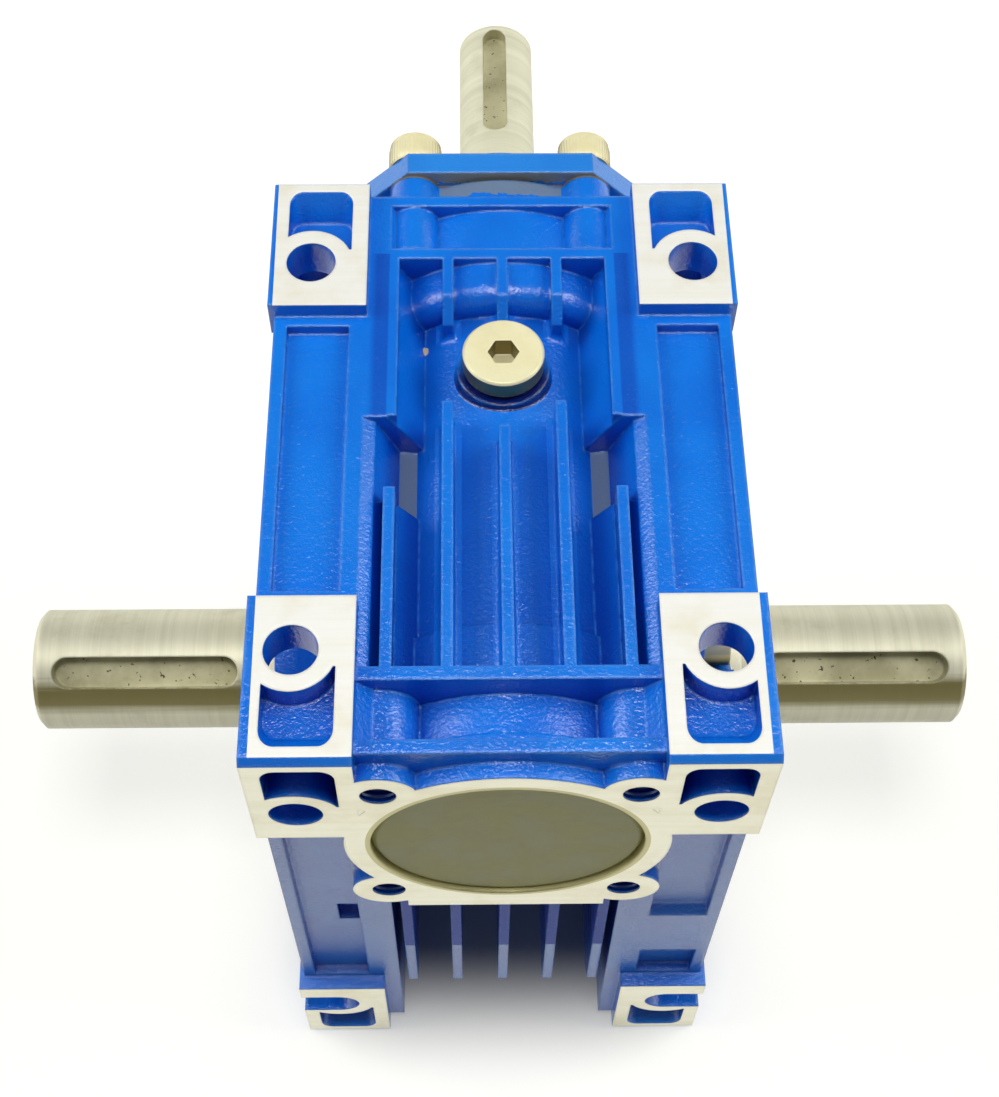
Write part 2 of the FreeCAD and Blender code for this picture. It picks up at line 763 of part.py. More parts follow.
def mounting_cuts():
    """Holes and pockets of the pads: four above, four below, and four on each end."""
    cuts = []
    inner, outer = "pad_side + pocket_margin", "half_width - pocket_margin"
    draft = "0.7 * pocket_depth"
    for front, top in (("1", "1"), ("1", "-1"), ("-1", "1"), ("-1", "-1")):
        base = "body_top" if top == "1" else "0"
        y_hole = f"({front}) * hole_y"
        z_hole = "upper_hole" if top == "1" else "lower_hole"
        tag = f"{'input' if front == '1' else 'capped'}_{'upper' if top == '1' else 'lower'}"

        def rise(depth, base=base, top=top):
            return f"{base} - ({top}) * ({depth})"

        def along(depth, front=front):
            return f"({front}) * (half_length - ({depth}))"

        flat = (rise("-1"), rise("pad_thickness + 1"))
        flat = flat if top == "-1" else flat[::-1]
        deep = (along("-1"), along("pad_thickness + 1"))
        deep = deep if front == "-1" else deep[::-1]
        bore = "mount_hole / 2" if top == "1" else "foot_hole / 2"
        cuts.append(rod(f"{tag}_foot_hole", "z", ("hole_x", y_hole), flat, bore))
        cuts.append(rod(f"{tag}_face_hole", "y", ("hole_x", z_hole), deep, "mount_hole / 2"))
        land = rod(f"{tag}_foot_land", "z", ("hole_x", y_hole), flat, "land_radius")
        stop = f"{y_hole} + ({front}) * pocket_stop"
        outline = [(along("pocket_margin - 0.7"), rise("-1")),
                   (along(f"pocket_margin + {draft}"), rise("pocket_depth")),
                   (stop, rise("pocket_depth")), (stop, rise("-1"))]
        cuts.append(pad_pocket(f"{tag}_foot_pocket", outline, (inner, outer), land))
        land = rod(f"{tag}_face_land", "y", ("hole_x", z_hole), deep, "land_radius")
        stop = f"{z_hole} + ({top}) * pocket_stop"
        outline = [(along("-1"), rise("pocket_margin - 0.7")),
                   (along("pocket_depth"), rise(f"pocket_margin + {draft}")),
                   (along("pocket_depth"), stop), (along("-1"), stop)]
        cuts.append(pad_pocket(f"{tag}_face_pocket", outline, (inner, outer), land))
        if top == "-1":
            slot_rise = ("lower_hole - mount_hole / 2", "lower_hole + mount_hole / 2")
            cuts.append(block(f"{tag}_slot", ("hole_x", "half_width + 1"), deep, slot_rise))
    return both_sides("mounting_cut", joined("mounting_cut", cuts), "x")


def rail_cuts():
    """Shallow recesses along the rails, on top, below and on both ends."""
    inner, outer = "core_side + rail_margin", "rail_side - rail_margin"
    left = (minus(outer), minus(inner))
    reach = "half_length - pad_length - pocket_margin + 0.5"
    floor = "rail_end - rail_recess"
    input_depth = (floor, "rail_end + 1")
    capped_depth = (minus("rail_end + 1"), minus(floor))
    rise = ("end_recess_low", "end_recess_high")
    along = (minus(reach), reach)
    mirrored = [
        block("top_recess", (inner, outer), along, ("rail_level - rail_recess", "rail_level + 1")),
        block("base_recess", (inner, outer), along, ("pad_raise - 1", "pad_raise + rail_recess")),
        block("input_end_recess", (inner, outer), input_depth, rise),
    ]
    ramp_foot = "short_recess_low - rail_recess - 1"
    ramp = [(minus("rail_end + 1"), "end_recess_high"), (minus(floor), "end_recess_high"),
            (minus(floor), "short_recess_low"), (minus("rail_end + 1"), ramp_foot)]
    window = (minus(f"{inner} + rail_window_width"), minus(inner))
    window_rise = ("rail_window_low", "rail_window_high")
    single = [
        block("capped_left_recess", left, capped_depth, rise),
        block("rail_window", window, (minus("rail_end + 1"), minus("frame_end - 1")), window_rise),
        prism("capped_right_recess", "yz", [ramp], (inner, outer)),
        block("capped_low_pocket", (inner, outer), capped_depth, ("end_recess_low", "low_pocket_high")),
    ]
    return both_sides("rail_cut", joined("rail_cut", mirrored), "x") + single


def bore_cuts():
    """Bearing seats, the worm tunnel, the wheel chamber and the seal seats."""
    groove = ("rear_bearing_out - worm_circlip_thickness - 2 * thread_gap", "rear_bearing_out")
    chamber = (minus("output_bearing_inset - 4"), "disc_inside + 1")
    bearing = "output_bearing_outer / 2 + slip_gap"
    plug = "plug_thread / 2 + thread_gap"
    return [
        worm_line("rear_bore", ("rear_face - 1", "rear_bearing_in"), "rear_seat + slip_gap"),
        worm_line("circlip_groove", groove, "rear_seat + worm_circlip_depth"),
        worm_line("tunnel_hole", ("rear_bearing_in - 1", "input_bearing_in + 1"), "tunnel_bore / 2"),
        worm_line("input_bore", ("input_bearing_in", "input_face + 1"), "input_seat + slip_gap"),
        output_line("wheel_chamber", chamber, "chamber_radius"),
        output_line("fixed_bearing_seat", (minus("output_bearing_out"), "0"), bearing),
        output_line("fixed_seal_seat", (minus("pilot_end + 1"), "0"), "output_seal_outer / 2 + slip_gap"),
        rod("plug_hole", "z", ("0", "plug_offset"), ("worm_height", "plug_seat + 1"), plug),
    ]


def thread_cuts():
    """Tapped holes of the lobes, the input cover, the output cover and the fixed flange."""
    cuts = []
    for index, place in enumerate(around_worm()):
        ends = ("rear_face - 1", "rear_face + lobe_depth - 3")
        cuts.append(rod(f"lobe_hole_{index}", "y", place, ends, "lobe_thread / 2"))
    for index, place in enumerate(bolt_places()):
        ends = ("cover_outside - cover_bolt_length - 1", "input_face + 1")
        cuts.append(rod(f"bolt_hole_{index}", "y", place, ends, "cover_bolt / 2 + thread_gap"))
    for angle in cover_screw_angles:
        place = around_output("cover_screw_circle", angle)
        ends = ("disc_inside + cover_ear - cover_screw_length - 1", "disc_inside + 1")
        cuts.append(rod(f"screw_hole_{angle * 10:.0f}", "x", place, ends, "cover_screw / 2 + thread_gap"))
    for angle in flange_angles:
        place = around_output("flange_circle", angle)
        ends = (minus("half_width + 1"), minus("half_width - flange_thread_depth"))
        cuts.append(rod(f"fixed_flange_hole_{angle}", "x", place, ends, "flange_thread / 2"))
    return cuts


def make_housing():
    """The casting after machining."""
    machined = cut_away("machined_casting", casting(), joined("bores", bore_cuts()))
    return cut_away("housing", machined, joined("drillings", thread_cuts() + mounting_cuts() + rail_cuts()))


def make_input_cover():
    """Square cover with a spigot that locates the bearing and a nose that holds the seal."""
    plate = prism("cover_plate_blank", "xz", [octagon("cover_size / 2", "cover_corner")],
                  ("cover_inside", "cover_outside"))
    spigot_end = "input_bearing_out + slip_gap"
    nose_foot = "input_seal_outer / 2 + nose_wall + nose_flare"
    nose_tip = "input_seal_outer / 2 + nose_wall"
    profile = [("0", "cover_inside"), (nose_foot, "cover_inside"), (nose_foot, "cover_outside"),
               (nose_tip, "nose_end"), ("0", "nose_end")]
    nose = turned("cover_nose", "y", profile, "worm_height")
    spigot = worm_line("cover_spigot_ring", (spigot_end, "cover_inside + 1"), "input_seat - slip_gap")
    hollow_ends = (f"{spigot_end} - 1", "input_seal_in - 1")
    hollow = worm_line("cover_hollow", hollow_ends, "input_seat - input_seat_wall")
    throat = worm_line("cover_throat", (spigot_end, "nose_end + 1"), "seal_journal / 2 + 1")
    seat_ends = ("input_seal_in", "nose_end + 1")
    seal_seat = worm_line("cover_seal_seat", seat_ends, "input_seal_outer / 2 + slip_gap")
    holes = []
    for index, place in enumerate(bolt_places()):
        ends = ("cover_inside - 1", "cover_outside + 1")
        holes.append(rod(f"cover_bolt_hole_{index}", "y", place, ends, "cover_bolt / 2 + screw_clearance"))
    blank = joined("input_cover_blank", [plate, nose, spigot])
    return cut_away("input_cover", blank, joined("cover_cuts", [hollow, throat, seal_seat, *holes]))


def make_output_cover():
    """Round side cover that holds one wheel bearing, with notched ears for its screws."""
    bore = "chamber_radius - slip_gap"
    tube = "output_bearing_outer / 2 + input_seat_wall"
    body = turned("output_cover_turned", "x", [
        ("output_seal_outer / 2 + slip_gap", "output_bearing_out"),
        ("output_bearing_outer / 2 + slip_gap", "output_bearing_out"),
        ("output_bearing_outer / 2 + slip_gap", "output_bearing_inset"),
        (tube, "output_bearing_inset"),
        (tube, "disc_inside - cover_spigot"),
        (bore, "disc_inside - cover_spigot"),
        (bore, "disc_inside - cover_spigot / 2 - o_ring"),
        (f"{bore} - 1.6 * o_ring", "disc_inside - cover_spigot / 2 - o_ring"),
        (f"{bore} - 1.6 * o_ring", "disc_inside - cover_spigot / 2 + o_ring"),
        (bore, "disc_inside - cover_spigot / 2 + o_ring"),
        (bore, "disc_inside"),
        ("flange_radius", "disc_inside"),
        ("flange_radius", "half_width"),
        ("flange_pilot / 2", "half_width"),
        ("flange_pilot / 2", "pilot_end"),
        ("output_seal_outer / 2 + slip_gap", "pilot_end"),
    ], "output_height")
    ears, cuts = [], []
    for angle in cover_screw_angles:
        place = around_output("cover_screw_circle", angle)
        tag = f"{angle * 10:.0f}"
        ends = ("disc_inside", "disc_inside + cover_ear")
        ears.append(rod(f"cover_ear_{tag}", "x", place, ends, "cover_ear_radius"))
        notch = ("disc_inside + cover_ear", "half_width + 1")
        cuts.append(rod(f"cover_notch_{tag}", "x", place, notch, "cover_ear_radius - 0.3"))
        through = ("disc_inside - 1", "half_width")
        cuts.append(rod(f"cover_hole_{tag}", "x", place, through, "cover_screw / 2 + screw_clearance"))
    for angle in flange_angles:
        place = around_output("flange_circle", angle)
        ends = ("half_width - flange_thread_depth", "half_width + 1")
        cuts.append(rod(f"cover_flange_hole_{angle}", "x", place, ends, "flange_thread / 2"))
    blank = joined("output_cover_blank", [body, *ears])
    return cut_away("output_cover", blank, joined("output_cover_cuts", cuts))


def make_fasteners():
    """Bolts of the input cover and screws of the output cover, each group in one node."""
    bolts = []
    for index, place in enumerate(bolt_places()):
        bolts.append(cap_screw(f"cover_bolt_{index}", "y", place, "cover_outside", "1", "cover_bolt",
                               "cover_bolt_length"))
    screws = []
    for angle in cover_screw_angles:
        place = around_output("cover_screw_circle", angle)
        screws.append(cap_screw(f"cover_screw_{angle * 10:.0f}", "x", place, "disc_inside + cover_ear", "1",
                                "cover_screw", "cover_screw_length"))
    return [grouped("cover_bolts", bolts), grouped("output_cover_screws", screws)]


def make_seals_and_gaskets():
    """Lip seals on the three shafts, the gasket and the ring in the output cover."""
    pieces = []

    def lip_seal(name, axis, outer, shaft, start, width, height):
        back = f"({start}) + ({width})"
        lip = f"({shaft}) / 2 + seal_gap"
        profile = [(lip, f"{start} + ({width}) * 0.35"), (f"{lip} + 2", start),
                   (f"({outer}) / 2", start), (f"({outer}) / 2", back),
                   (f"{lip} + 1", back), (f"{lip} + 1", f"{start} + ({width}) * 0.6")]
        return turned(name, axis, profile, height)

    pieces.append(lip_seal("input_seal", "y", "input_seal_outer", "seal_journal", "input_seal_in",
                           "input_seal_width", "worm_height"))
    right = lip_seal("output_seal_right", "x", "output_seal_outer", "hub_journal", "output_seal_in",
                     "output_seal_width", "output_height")
    left = lip_seal("output_seal_left", "x", "output_seal_outer", "hub_journal", "output_seal_in",
                    "output_seal_width", "output_height")
    left.Placement.Rotation = FreeCAD.Rotation(FreeCAD.Vector(0, 0, 1), 90)
    pieces += [right, left]
    between = ("input_face", "cover_inside")
    through = ("input_face - 1", "cover_inside + 1")
    sheet_parts = [prism("gasket_middle", "xz", [octagon("neck_half", "cover_corner")], between)]
    holes = [worm_line("gasket_bore", through, "input_seat + slip_gap")]
    for index, place in enumerate(bolt_places()):
        sheet_parts.append(rod(f"gasket_ear_{index}", "y", place, between, "cover_boss_radius"))
        holes.append(rod(f"gasket_hole_{index}", "y", place, through, "cover_bolt / 2 + screw_clearance"))
    sheet_blank = joined("gasket_sheet", sheet_parts)
    pieces.append(cut_away("cover_gasket", sheet_blank, joined("gasket_holes", holes)))
    bore = "chamber_radius - slip_gap"
    middle = "disc_inside - cover_spigot / 2"
    quarter = ((1.6, 0.4), (1.2, 0.8), (0.4, 0.8), (0, 0.4))
    corners = [(inward, -along) for inward, along in quarter] + list(reversed(quarter))
    ring = [(f"{bore} - {inward} * o_ring", f"{middle} + {along} * o_ring")
            for inward, along in corners]
    pieces.append(turned("cover_o_ring", "x", ring, "output_height"))
    return pieces


def ball_bearing(prefix, axis, bore, outer, start, width, balls, height):
    """A deep-groove ball bearing: outer ring, inner ring and balls."""
    pitch = f"(({bore}) + ({outer})) / 4"
    ball = f"(({outer}) - ({bore})) / 2 * ball_share"
    middle = f"({start}) + ({width}) / 2"
    end = f"({start}) + ({width})"

    def ring(name, rim, side):
        race = f"{pitch} + ({side}) * ({ball} + ball_play)"
        shoulder = f"{pitch} + ({side}) * {ball} * shoulder_share"
        profile = [(rim, start), (rim, end), (shoulder, end), (shoulder, f"{middle} + 0.85 * {ball}"),
                   (race, f"{middle} + 0.45 * {ball}"), (race, f"{middle} - 0.45 * {ball}"),
                   (shoulder, f"{middle} - 0.85 * {ball}"), (shoulder, start)]
        return turned(name, axis, profile, height)

    outer_ring = ring(f"{prefix}_outer_ring", f"({outer}) / 2", "1")
    inner_ring = ring(f"{prefix}_inner_ring", f"({bore}) / 2", "-1")
    group = []
    others = {"x": ("y", "z"), "y": ("x", "z")}[axis]
    for index in range(balls):
        turn = 360 / balls * index
        sphere = doc.addObject("Part::Sphere", f"{prefix}_ball_{index}")
        bind(sphere, Radius=ball)
        bind(sphere, **{f"Placement_at_Base_at_{axis}": middle,
                        f"Placement_at_Base_at_{others[0]}": f"{pitch} * cos({turn})",
                        f"Placement_at_Base_at_{others[1]}": f"{height} + {pitch} * sin({turn})"})
        group.append(sphere)
    return [outer_ring, inner_ring, grouped(f"{prefix}_balls", group)]


def make_bearings():
    """Two bearings on the worm and two on the wheel hub."""
    worm_balls, hub_balls = 8, 12
    pieces = ball_bearing("rear_bearing", "y", "rear_bearing_bore", "rear_bearing_outer",
                          "rear_bearing_out", "rear_bearing_width", worm_balls, "worm_height")
    pieces += ball_bearing("input_bearing", "y", "input_bearing_bore", "input_bearing_outer",
                           "input_bearing_in", "input_bearing_width", worm_balls, "worm_height")
    for side, start in (("right", "output_bearing_inset"), ("left", minus("output_bearing_out"))):
        pieces += ball_bearing(f"output_bearing_{side}", "x", "hub_journal", "output_bearing_outer", start,
                               "output_bearing_width", hub_balls, "output_height")
    return pieces


# The bar's profile stands clear of its keyway, so that no seam of the bar runs through the slot
bar_plane_turn = 45


def make_worm_shaft():
    """The worm, its journals and the input shaft with its keyway, cut from one bar."""
    root = "worm_pitch_diameter / 2 - gear_module - tip_clearance"
    thread_end = "worm_turns / 2 * gear_module * 3.1416 + gear_module"
    shaft_start = "input_shaft_reach - input_shaft_length"
    bar = turned("worm_bar", "y", [
        ("0", "rear_bearing_out - 1"),
        ("rear_bearing_bore / 2 - 1", "rear_bearing_out - 1"),
        ("rear_bearing_bore / 2", "rear_bearing_out"),
        ("rear_bearing_bore / 2", "rear_bearing_in"),
        ("rear_bearing_bore / 2 + 3", "rear_bearing_in"),
        ("rear_bearing_bore / 2 + 3", minus(f"{thread_end} + 2")),
        (root, minus(thread_end)),
        (root, thread_end),
        ("input_bearing_bore / 2 + 3", f"{thread_end} + 4"),
        ("input_bearing_bore / 2 + 3", "input_bearing_in"),
        ("input_bearing_bore / 2", "input_bearing_in"),
        ("input_bearing_bore / 2", "input_bearing_out"),
        ("seal_journal / 2", "input_bearing_out"),
        ("seal_journal / 2", shaft_start),
        ("input_shaft_diameter / 2", shaft_start),
        ("input_shaft_diameter / 2", "input_shaft_reach - output_chamfer"),
        ("input_shaft_diameter / 2 - output_chamfer", "input_shaft_reach"),
        ("0", "input_shaft_reach"),
    ], plane_turn=bar_plane_turn)
    bar.Placement.Rotation = FreeCAD.Rotation(axis_vector["y"], driving_sizes["input_key_lean"])
    key_end = "input_shaft_reach - input_key_end"
    add_keyway(bar, "input_keyway", (f"{key_end} - input_key_length", key_end), "input_key_width",
               "input_shaft_diameter / 2 - input_key_depth")
    doc.recompute()
    pitch = math.pi * number("gear_module")
    turns = number("worm_turns")
    root_radius = number(root) - number("slip_gap")
    tip_radius = number("worm_pitch_diameter / 2 + gear_module")
    flank = math.tan(math.radians(number("pressure_angle")))

    def half_width(radius):
        above = radius - number("worm_pitch_diameter / 2")
        return pitch / 4 - number("tooth_backlash") / 4 - above * flank

    corners = [
        FreeCAD.Vector(root_radius, 0, -half_width(root_radius)),
        FreeCAD.Vector(tip_radius, 0, -half_width(tip_radius)),
        FreeCAD.Vector(tip_radius, 0, half_width(tip_radius)),
        FreeCAD.Vector(root_radius, 0, half_width(root_radius)),
    ]
    helix = Part.Wire(Part.makeHelix(pitch, pitch * turns, root_radius))
    thread = helix.makePipeShell([Part.makePolygon(corners + corners[:1])], True, True)
    # The middle of the thread faces the wheel, with a crest on the wheel's centre plane
    thread.translate(FreeCAD.Vector(0, 0, -pitch * turns / 2))
    thread.rotate(FreeCAD.Vector(), FreeCAD.Vector(0, 0, 1), -360 * turns / 2)
    thread.rotate(FreeCAD.Vector(), FreeCAD.Vector(1, 0, 0), -90)
    thread.rotate(FreeCAD.Vector(), FreeCAD.Vector(0, 1, 0), 90)
    worm_thread = doc.addObject("Part::Feature", "worm_thread")
    worm_thread.Shape = thread
    shaft = joined("worm_shaft", [bar, worm_thread])
    bind(shaft, Placement_at_Base_at_z="worm_height")
    return shaft


def make_wheel_rim():
    """Bronze rim with involute teeth set at the worm's lead angle and a throat for the worm."""
    teeth = int(number("wheel_teeth"))
    module = number("gear_module")
    pitch_radius = number("wheel_pitch_radius")
    pressure = math.radians(number("pressure_angle"))
    root = pitch_radius - module - number("tip_clearance")
    tip = number("wheel_tip")
    base = pitch_radius * math.cos(pressure)
    thickness = math.pi * module / 2 - number("tooth_backlash") / 2
    lead = module / number("worm_pitch_diameter")
    half_face = number("wheel_face_width") / 2

    def involute(angle):
        return math.tan(angle) - angle

    def half_angle(radius):
        roll = math.acos(min(1, base / max(radius, base)))
        return thickness / 2 / pitch_radius + involute(pressure) - involute(roll)

    radii = [root, base, (base + pitch_radius) / 2, pitch_radius, (pitch_radius + tip) / 2, tip]

    def outline(place):
        twist = place * lead / pitch_radius
        points = []
        for tooth in range(teeth):
            middle = (tooth + 0.5) * 2 * math.pi / teeth + twist
            rising = [(radius, middle - half_angle(radius)) for radius in radii]
            falling = [(radius, middle + half_angle(radius)) for radius in reversed(radii)]
            for radius, angle in rising + falling:
                points.append(FreeCAD.Vector(place, -radius * math.sin(angle), radius * math.cos(angle)))
        return Part.makePolygon(points + points[:1])

    toothed = Part.makeLoft([outline(-half_face), outline(half_face)], True, True)
    along = FreeCAD.Vector(1, 0, 0)
    start = FreeCAD.Vector(-half_face - 1, 0, 0)
    bore = Part.makeCylinder(number("rim_bore / 2 + slip_gap"), 2 * half_face + 2, start, along)
    centres = number("worm_height - output_height")
    throat_radius = centres - pitch_radius - module
    throat = Part.makeTorus(centres, throat_radius, FreeCAD.Vector(), along)
    rim = doc.addObject("Part::Feature", "wheel_rim")
    rim.Shape = toothed.cut(bore).cut(throat)
    bind(rim, Placement_at_Base_at_z="output_height")
    return rim


def make_output_parts():
    """Hollow hub, double-ended shaft, the key between them and the rings that hold the shaft."""
    face = "wheel_face_width / 2 + 1"
    half_hub = "hub_length / 2"
    bore = "hub_bore / 2 + slip_gap"
    lean = FreeCAD.Rotation(FreeCAD.Vector(1, 0, 0), driving_sizes["output_key_lean"])
    right = [("hub_shoulder / 2", face), ("hub_shoulder / 2", "output_bearing_inset"),
             ("hub_journal / 2", "output_bearing_inset"), ("hub_journal / 2", half_hub)]
    profile = [(bore, minus(half_hub)), *[(r, minus(a)) for r, a in reversed(right)],
               ("rim_bore / 2", minus(face)), ("rim_bore / 2", face), *right, (bore, half_hub)]
    hub_blank = turned("hub_blank", "x", profile)
    key_half = "output_key_width / 2"
    key_floor = "hub_bore / 2 - output_key_depth"
    key_top = "hub_bore / 2 - output_key_depth + hub_key_height"
    slot = block("hub_keyway", (minus(f"{half_hub} + 1"), f"{half_hub} + 1"),
                 (minus(f"{key_half} + slip_gap"), f"{key_half} + slip_gap"), ("0", f"{key_top} + 0.2"))
    hub = cut_away("wheel_hub", hub_blank, slot)
    shaft_radius = "hub_bore / 2"
    half_shaft = "output_shaft_length / 2"
    groove_in = f"{half_hub} + slip_gap"
    groove_out = f"{groove_in} + circlip_thickness + slip_gap"
    neck = f"{shaft_radius} - circlip_depth"
    end = [(shaft_radius, groove_in), (neck, groove_in), (neck, groove_out), (shaft_radius, groove_out),
           (shaft_radius, f"{half_shaft} - output_chamfer"),
           (f"{shaft_radius} - output_chamfer", half_shaft)]
    other_end = [(radius, minus(place)) for radius, place in reversed(end)]
    outline = [("0", minus(half_shaft)), *other_end, *end, ("0", half_shaft)]
    shaft = turned("output_shaft", "x", outline)
    outer = (f"{half_shaft} - output_key_end - output_key_length", f"{half_shaft} - output_key_end")
    add_keyway(shaft, "right_keyway", outer, "output_key_width", key_floor)
    add_keyway(shaft, "left_keyway", (minus(outer[1]), minus(outer[0])), "output_key_width", key_floor)
    under_hub = ("-hub_key_length / 2", "hub_key_length / 2")
    add_keyway(shaft, "hub_key_seat", under_hub, "output_key_width", key_floor)
    key_width = f"{key_half} - slip_gap"
    straight = f"hub_key_length / 2 - {key_half}"
    key_rise = (key_floor, key_top)
    key = joined("hub_key", [
        block("hub_key_bar", (minus(straight), straight), (minus(key_width), key_width), key_rise),
        rod("hub_key_end_left", "z", (minus(straight), "0"), key_rise, key_width),
        rod("hub_key_end_right", "z", (straight, "0"), key_rise, key_width),
    ])
    clip_in = f"{neck} + slip_gap"
    clips = []
    for name, sign in (("right", "1"), ("left", "-1")):
        ends = (f"{groove_in} + slip_gap / 2", f"{groove_out} - slip_gap / 2")
        if sign == "-1":
            ends = (minus(ends[1]), minus(ends[0]))
        disc = rod(f"circlip_{name}_disc", "x", ("0", "0"), ends, f"{clip_in} + circlip_width")
        wide = (f"{ends[0]} - 1", f"{ends[1]} + 1")
        hole = rod(f"circlip_{name}_hole", "x", ("0", "0"), wide, clip_in)
        opening = ("-circlip_width", "circlip_width")
        gap = block(f"circlip_{name}_gap", wide, opening, ("0", "hub_bore"))
        clips.append(cut_away(f"circlip_{name}", disc, joined(f"circlip_{name}_cuts", [hole, gap])))
    group = grouped("output_circlips", clips)
    for piece in (hub, key, group):
        piece.Placement = FreeCAD.Placement(FreeCAD.Vector(), lean)
        bind(piece, Placement_at_Base_at_z="output_height")
    shaft.Placement = FreeCAD.Placement(FreeCAD.Vector(), lean.multiply(body_turn["x"]))
    bind(shaft, Placement_at_Base_at_z="output_height")
    return [hub, shaft, key, group]


def make_end_parts():
    """The cap and circlip at the capped end, and the filler plug with its washer."""
    cap_radius = "rear_seat"
    cap_face = "rear_face + cap_recess"
    cap_back = f"{cap_face} + cap_length"
    cap = turned("worm_end_cap", "y", [
        ("0", cap_face), (f"{cap_radius} - cap_rounding", cap_face),
        (cap_radius, f"{cap_face} + cap_rounding"), (cap_radius, cap_back),
        (f"{cap_radius} - cap_wall", cap_back),
        (f"{cap_radius} - cap_wall", f"{cap_face} + cap_wall"), ("0", f"{cap_face} + cap_wall"),
    ], "worm_height")
    clip_back = "rear_bearing_out - thread_gap"
    clip_ends = (f"{clip_back} - worm_circlip_thickness", clip_back)
    clip_outer = "rear_seat + worm_circlip_depth - thread_gap"
    disc = worm_line("worm_circlip_disc", clip_ends, clip_outer)
    wide = (f"{clip_ends[0]} - 1", f"{clip_ends[1]} + 1")
    hole = worm_line("worm_circlip_hole", wide, f"{clip_outer} - worm_circlip_width")
    opening = ("-worm_circlip_width", "worm_circlip_width")
    gap = block("worm_circlip_gap", opening, wide, ("worm_height", "body_top"))
    clip = cut_away("worm_circlip", disc, joined("worm_circlip_cuts", [hole, gap]))
    seat = "plug_seat + plug_washer_thickness"
    place = ("0", "plug_offset")
    plug_top = f"{seat} + plug_head_height"
    head_edge = "plug_head / 2 - plug_chamfer"
    head = turned("plug_head_blank", "z", [
        ("0", "0"), ("plug_head / 2", "0"), ("plug_head / 2", "plug_head_height - plug_chamfer"),
        (head_edge, "plug_head_height"), ("0", "plug_head_height"),
    ], seat)
    bind(head, Placement_at_Base_at_y="plug_offset")
    thread_ends = (f"{seat} - plug_thread_length", seat)
    thread = rod("plug_thread_blank", "z", place, thread_ends, "plug_thread / 2")
    socket_ends = (f"{plug_top} - 0.8 * plug_socket", f"{plug_top} + 1")
    socket = hexagon("plug_socket_hex", "z", place, socket_ends, "plug_socket")
    plug = cut_away("oil_plug", joined("plug_blank", [head, thread]), socket)
    washer_disc = rod("washer_disc", "z", place, ("plug_seat", seat), "plug_washer_radius")
    washer_ends = ("plug_seat - 1", f"{seat} + 1")
    washer_hole = rod("washer_hole", "z", place, washer_ends, "plug_thread / 2 + thread_gap")
    return [cap, clip, plug, cut_away("plug_washer", washer_disc, washer_hole)]


def make_all():
    """Every piece of the reducer, one document object for each node."""
    return [
        make_housing(), make_input_cover(), make_output_cover(),
        *make_fasteners(), *make_seals_and_gaskets(), *make_bearings(),
        make_worm_shaft(), make_wheel_rim(), *make_output_parts(), *make_end_parts(),
    ]


pieces = make_all()
doc.recompute()

for item in doc.Objects:
    if "Invalid" in item.State or "Error" in item.State:
        raise RuntimeError(f"{item.Name} did not build: {item.State}")

os.makedirs("parts", exist_ok=True)
for piece in pieces:
    piece.Label = piece.Name
    if piece.Shape.isNull() or not piece.Shape.isValid():
        raise RuntimeError(f"{piece.Label} has no valid shape")
    piece.Shape.exportStep(f"parts/{piece.Label}.step")
    print(piece.Label, len(piece.Shape.Solids), "solids", round(piece.Shape.Volume), "mm3")
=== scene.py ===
import math

import bmesh
import bpy
import numpy as np
from mathutils import Matrix, Vector


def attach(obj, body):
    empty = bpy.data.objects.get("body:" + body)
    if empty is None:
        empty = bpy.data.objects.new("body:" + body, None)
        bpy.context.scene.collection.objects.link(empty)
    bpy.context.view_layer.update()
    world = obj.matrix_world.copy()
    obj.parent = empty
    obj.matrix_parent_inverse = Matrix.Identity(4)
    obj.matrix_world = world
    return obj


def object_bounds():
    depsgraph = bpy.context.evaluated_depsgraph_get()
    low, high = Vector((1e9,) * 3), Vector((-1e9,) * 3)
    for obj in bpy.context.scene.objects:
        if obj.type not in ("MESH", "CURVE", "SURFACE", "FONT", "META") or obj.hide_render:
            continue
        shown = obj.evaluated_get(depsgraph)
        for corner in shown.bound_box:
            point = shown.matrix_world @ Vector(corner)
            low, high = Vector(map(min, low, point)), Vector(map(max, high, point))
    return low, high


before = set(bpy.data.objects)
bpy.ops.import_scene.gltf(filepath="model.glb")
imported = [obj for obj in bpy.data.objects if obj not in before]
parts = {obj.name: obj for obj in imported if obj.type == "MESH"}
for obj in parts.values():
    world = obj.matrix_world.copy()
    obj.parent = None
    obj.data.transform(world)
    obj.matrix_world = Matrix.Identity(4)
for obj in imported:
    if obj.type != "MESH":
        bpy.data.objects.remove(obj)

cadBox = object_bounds()
print("frame loaded:", len(parts), "nodes")

# Where the casting's main faces, axes and bores lie, in metres
casting = {
    "halfWidth": 0.0425,
    "halfLength": 0.060,
    "top": 0.144,
    "outputHeight": 0.060,
    "wormHeight": 0.110,
    "tunnelRadius": 0.025,
    "rearSeatRadius": 0.026,
    "rearSeatEnd": -0.031,
    "nearWall": -0.0428,
    "nearEnd": -0.045,       # what lies nearer than this belongs to the capped end
    "neckTop": 0.138,
    "plugPlace": 0.02175,
    "bossRadius": 0.0085,
    "bossTop": 0.136,
    "faceSlack": 0.0002,     # this close to a milled face counts as on it
    "squareOn": 0.9,         # a normal with this share along an axis faces that way
}


# Small helpers for shader trees

def feed(tree, socket, value):
    # a socket is linked, anything else is set as a constant
    if isinstance(value, bpy.types.NodeSocket):
        tree.links.new(value, socket)
    else:
        socket.default_value = value


def put(tree, kind, inputs=None, **settings):
    # a new node; its settings come first, because they decide which inputs it has
    node = tree.nodes.new(kind)
    for key, value in settings.items():
        setattr(node, key, value)
    for key, value in (inputs or {}).items():
        feed(tree, node.inputs[key], value)
    return node


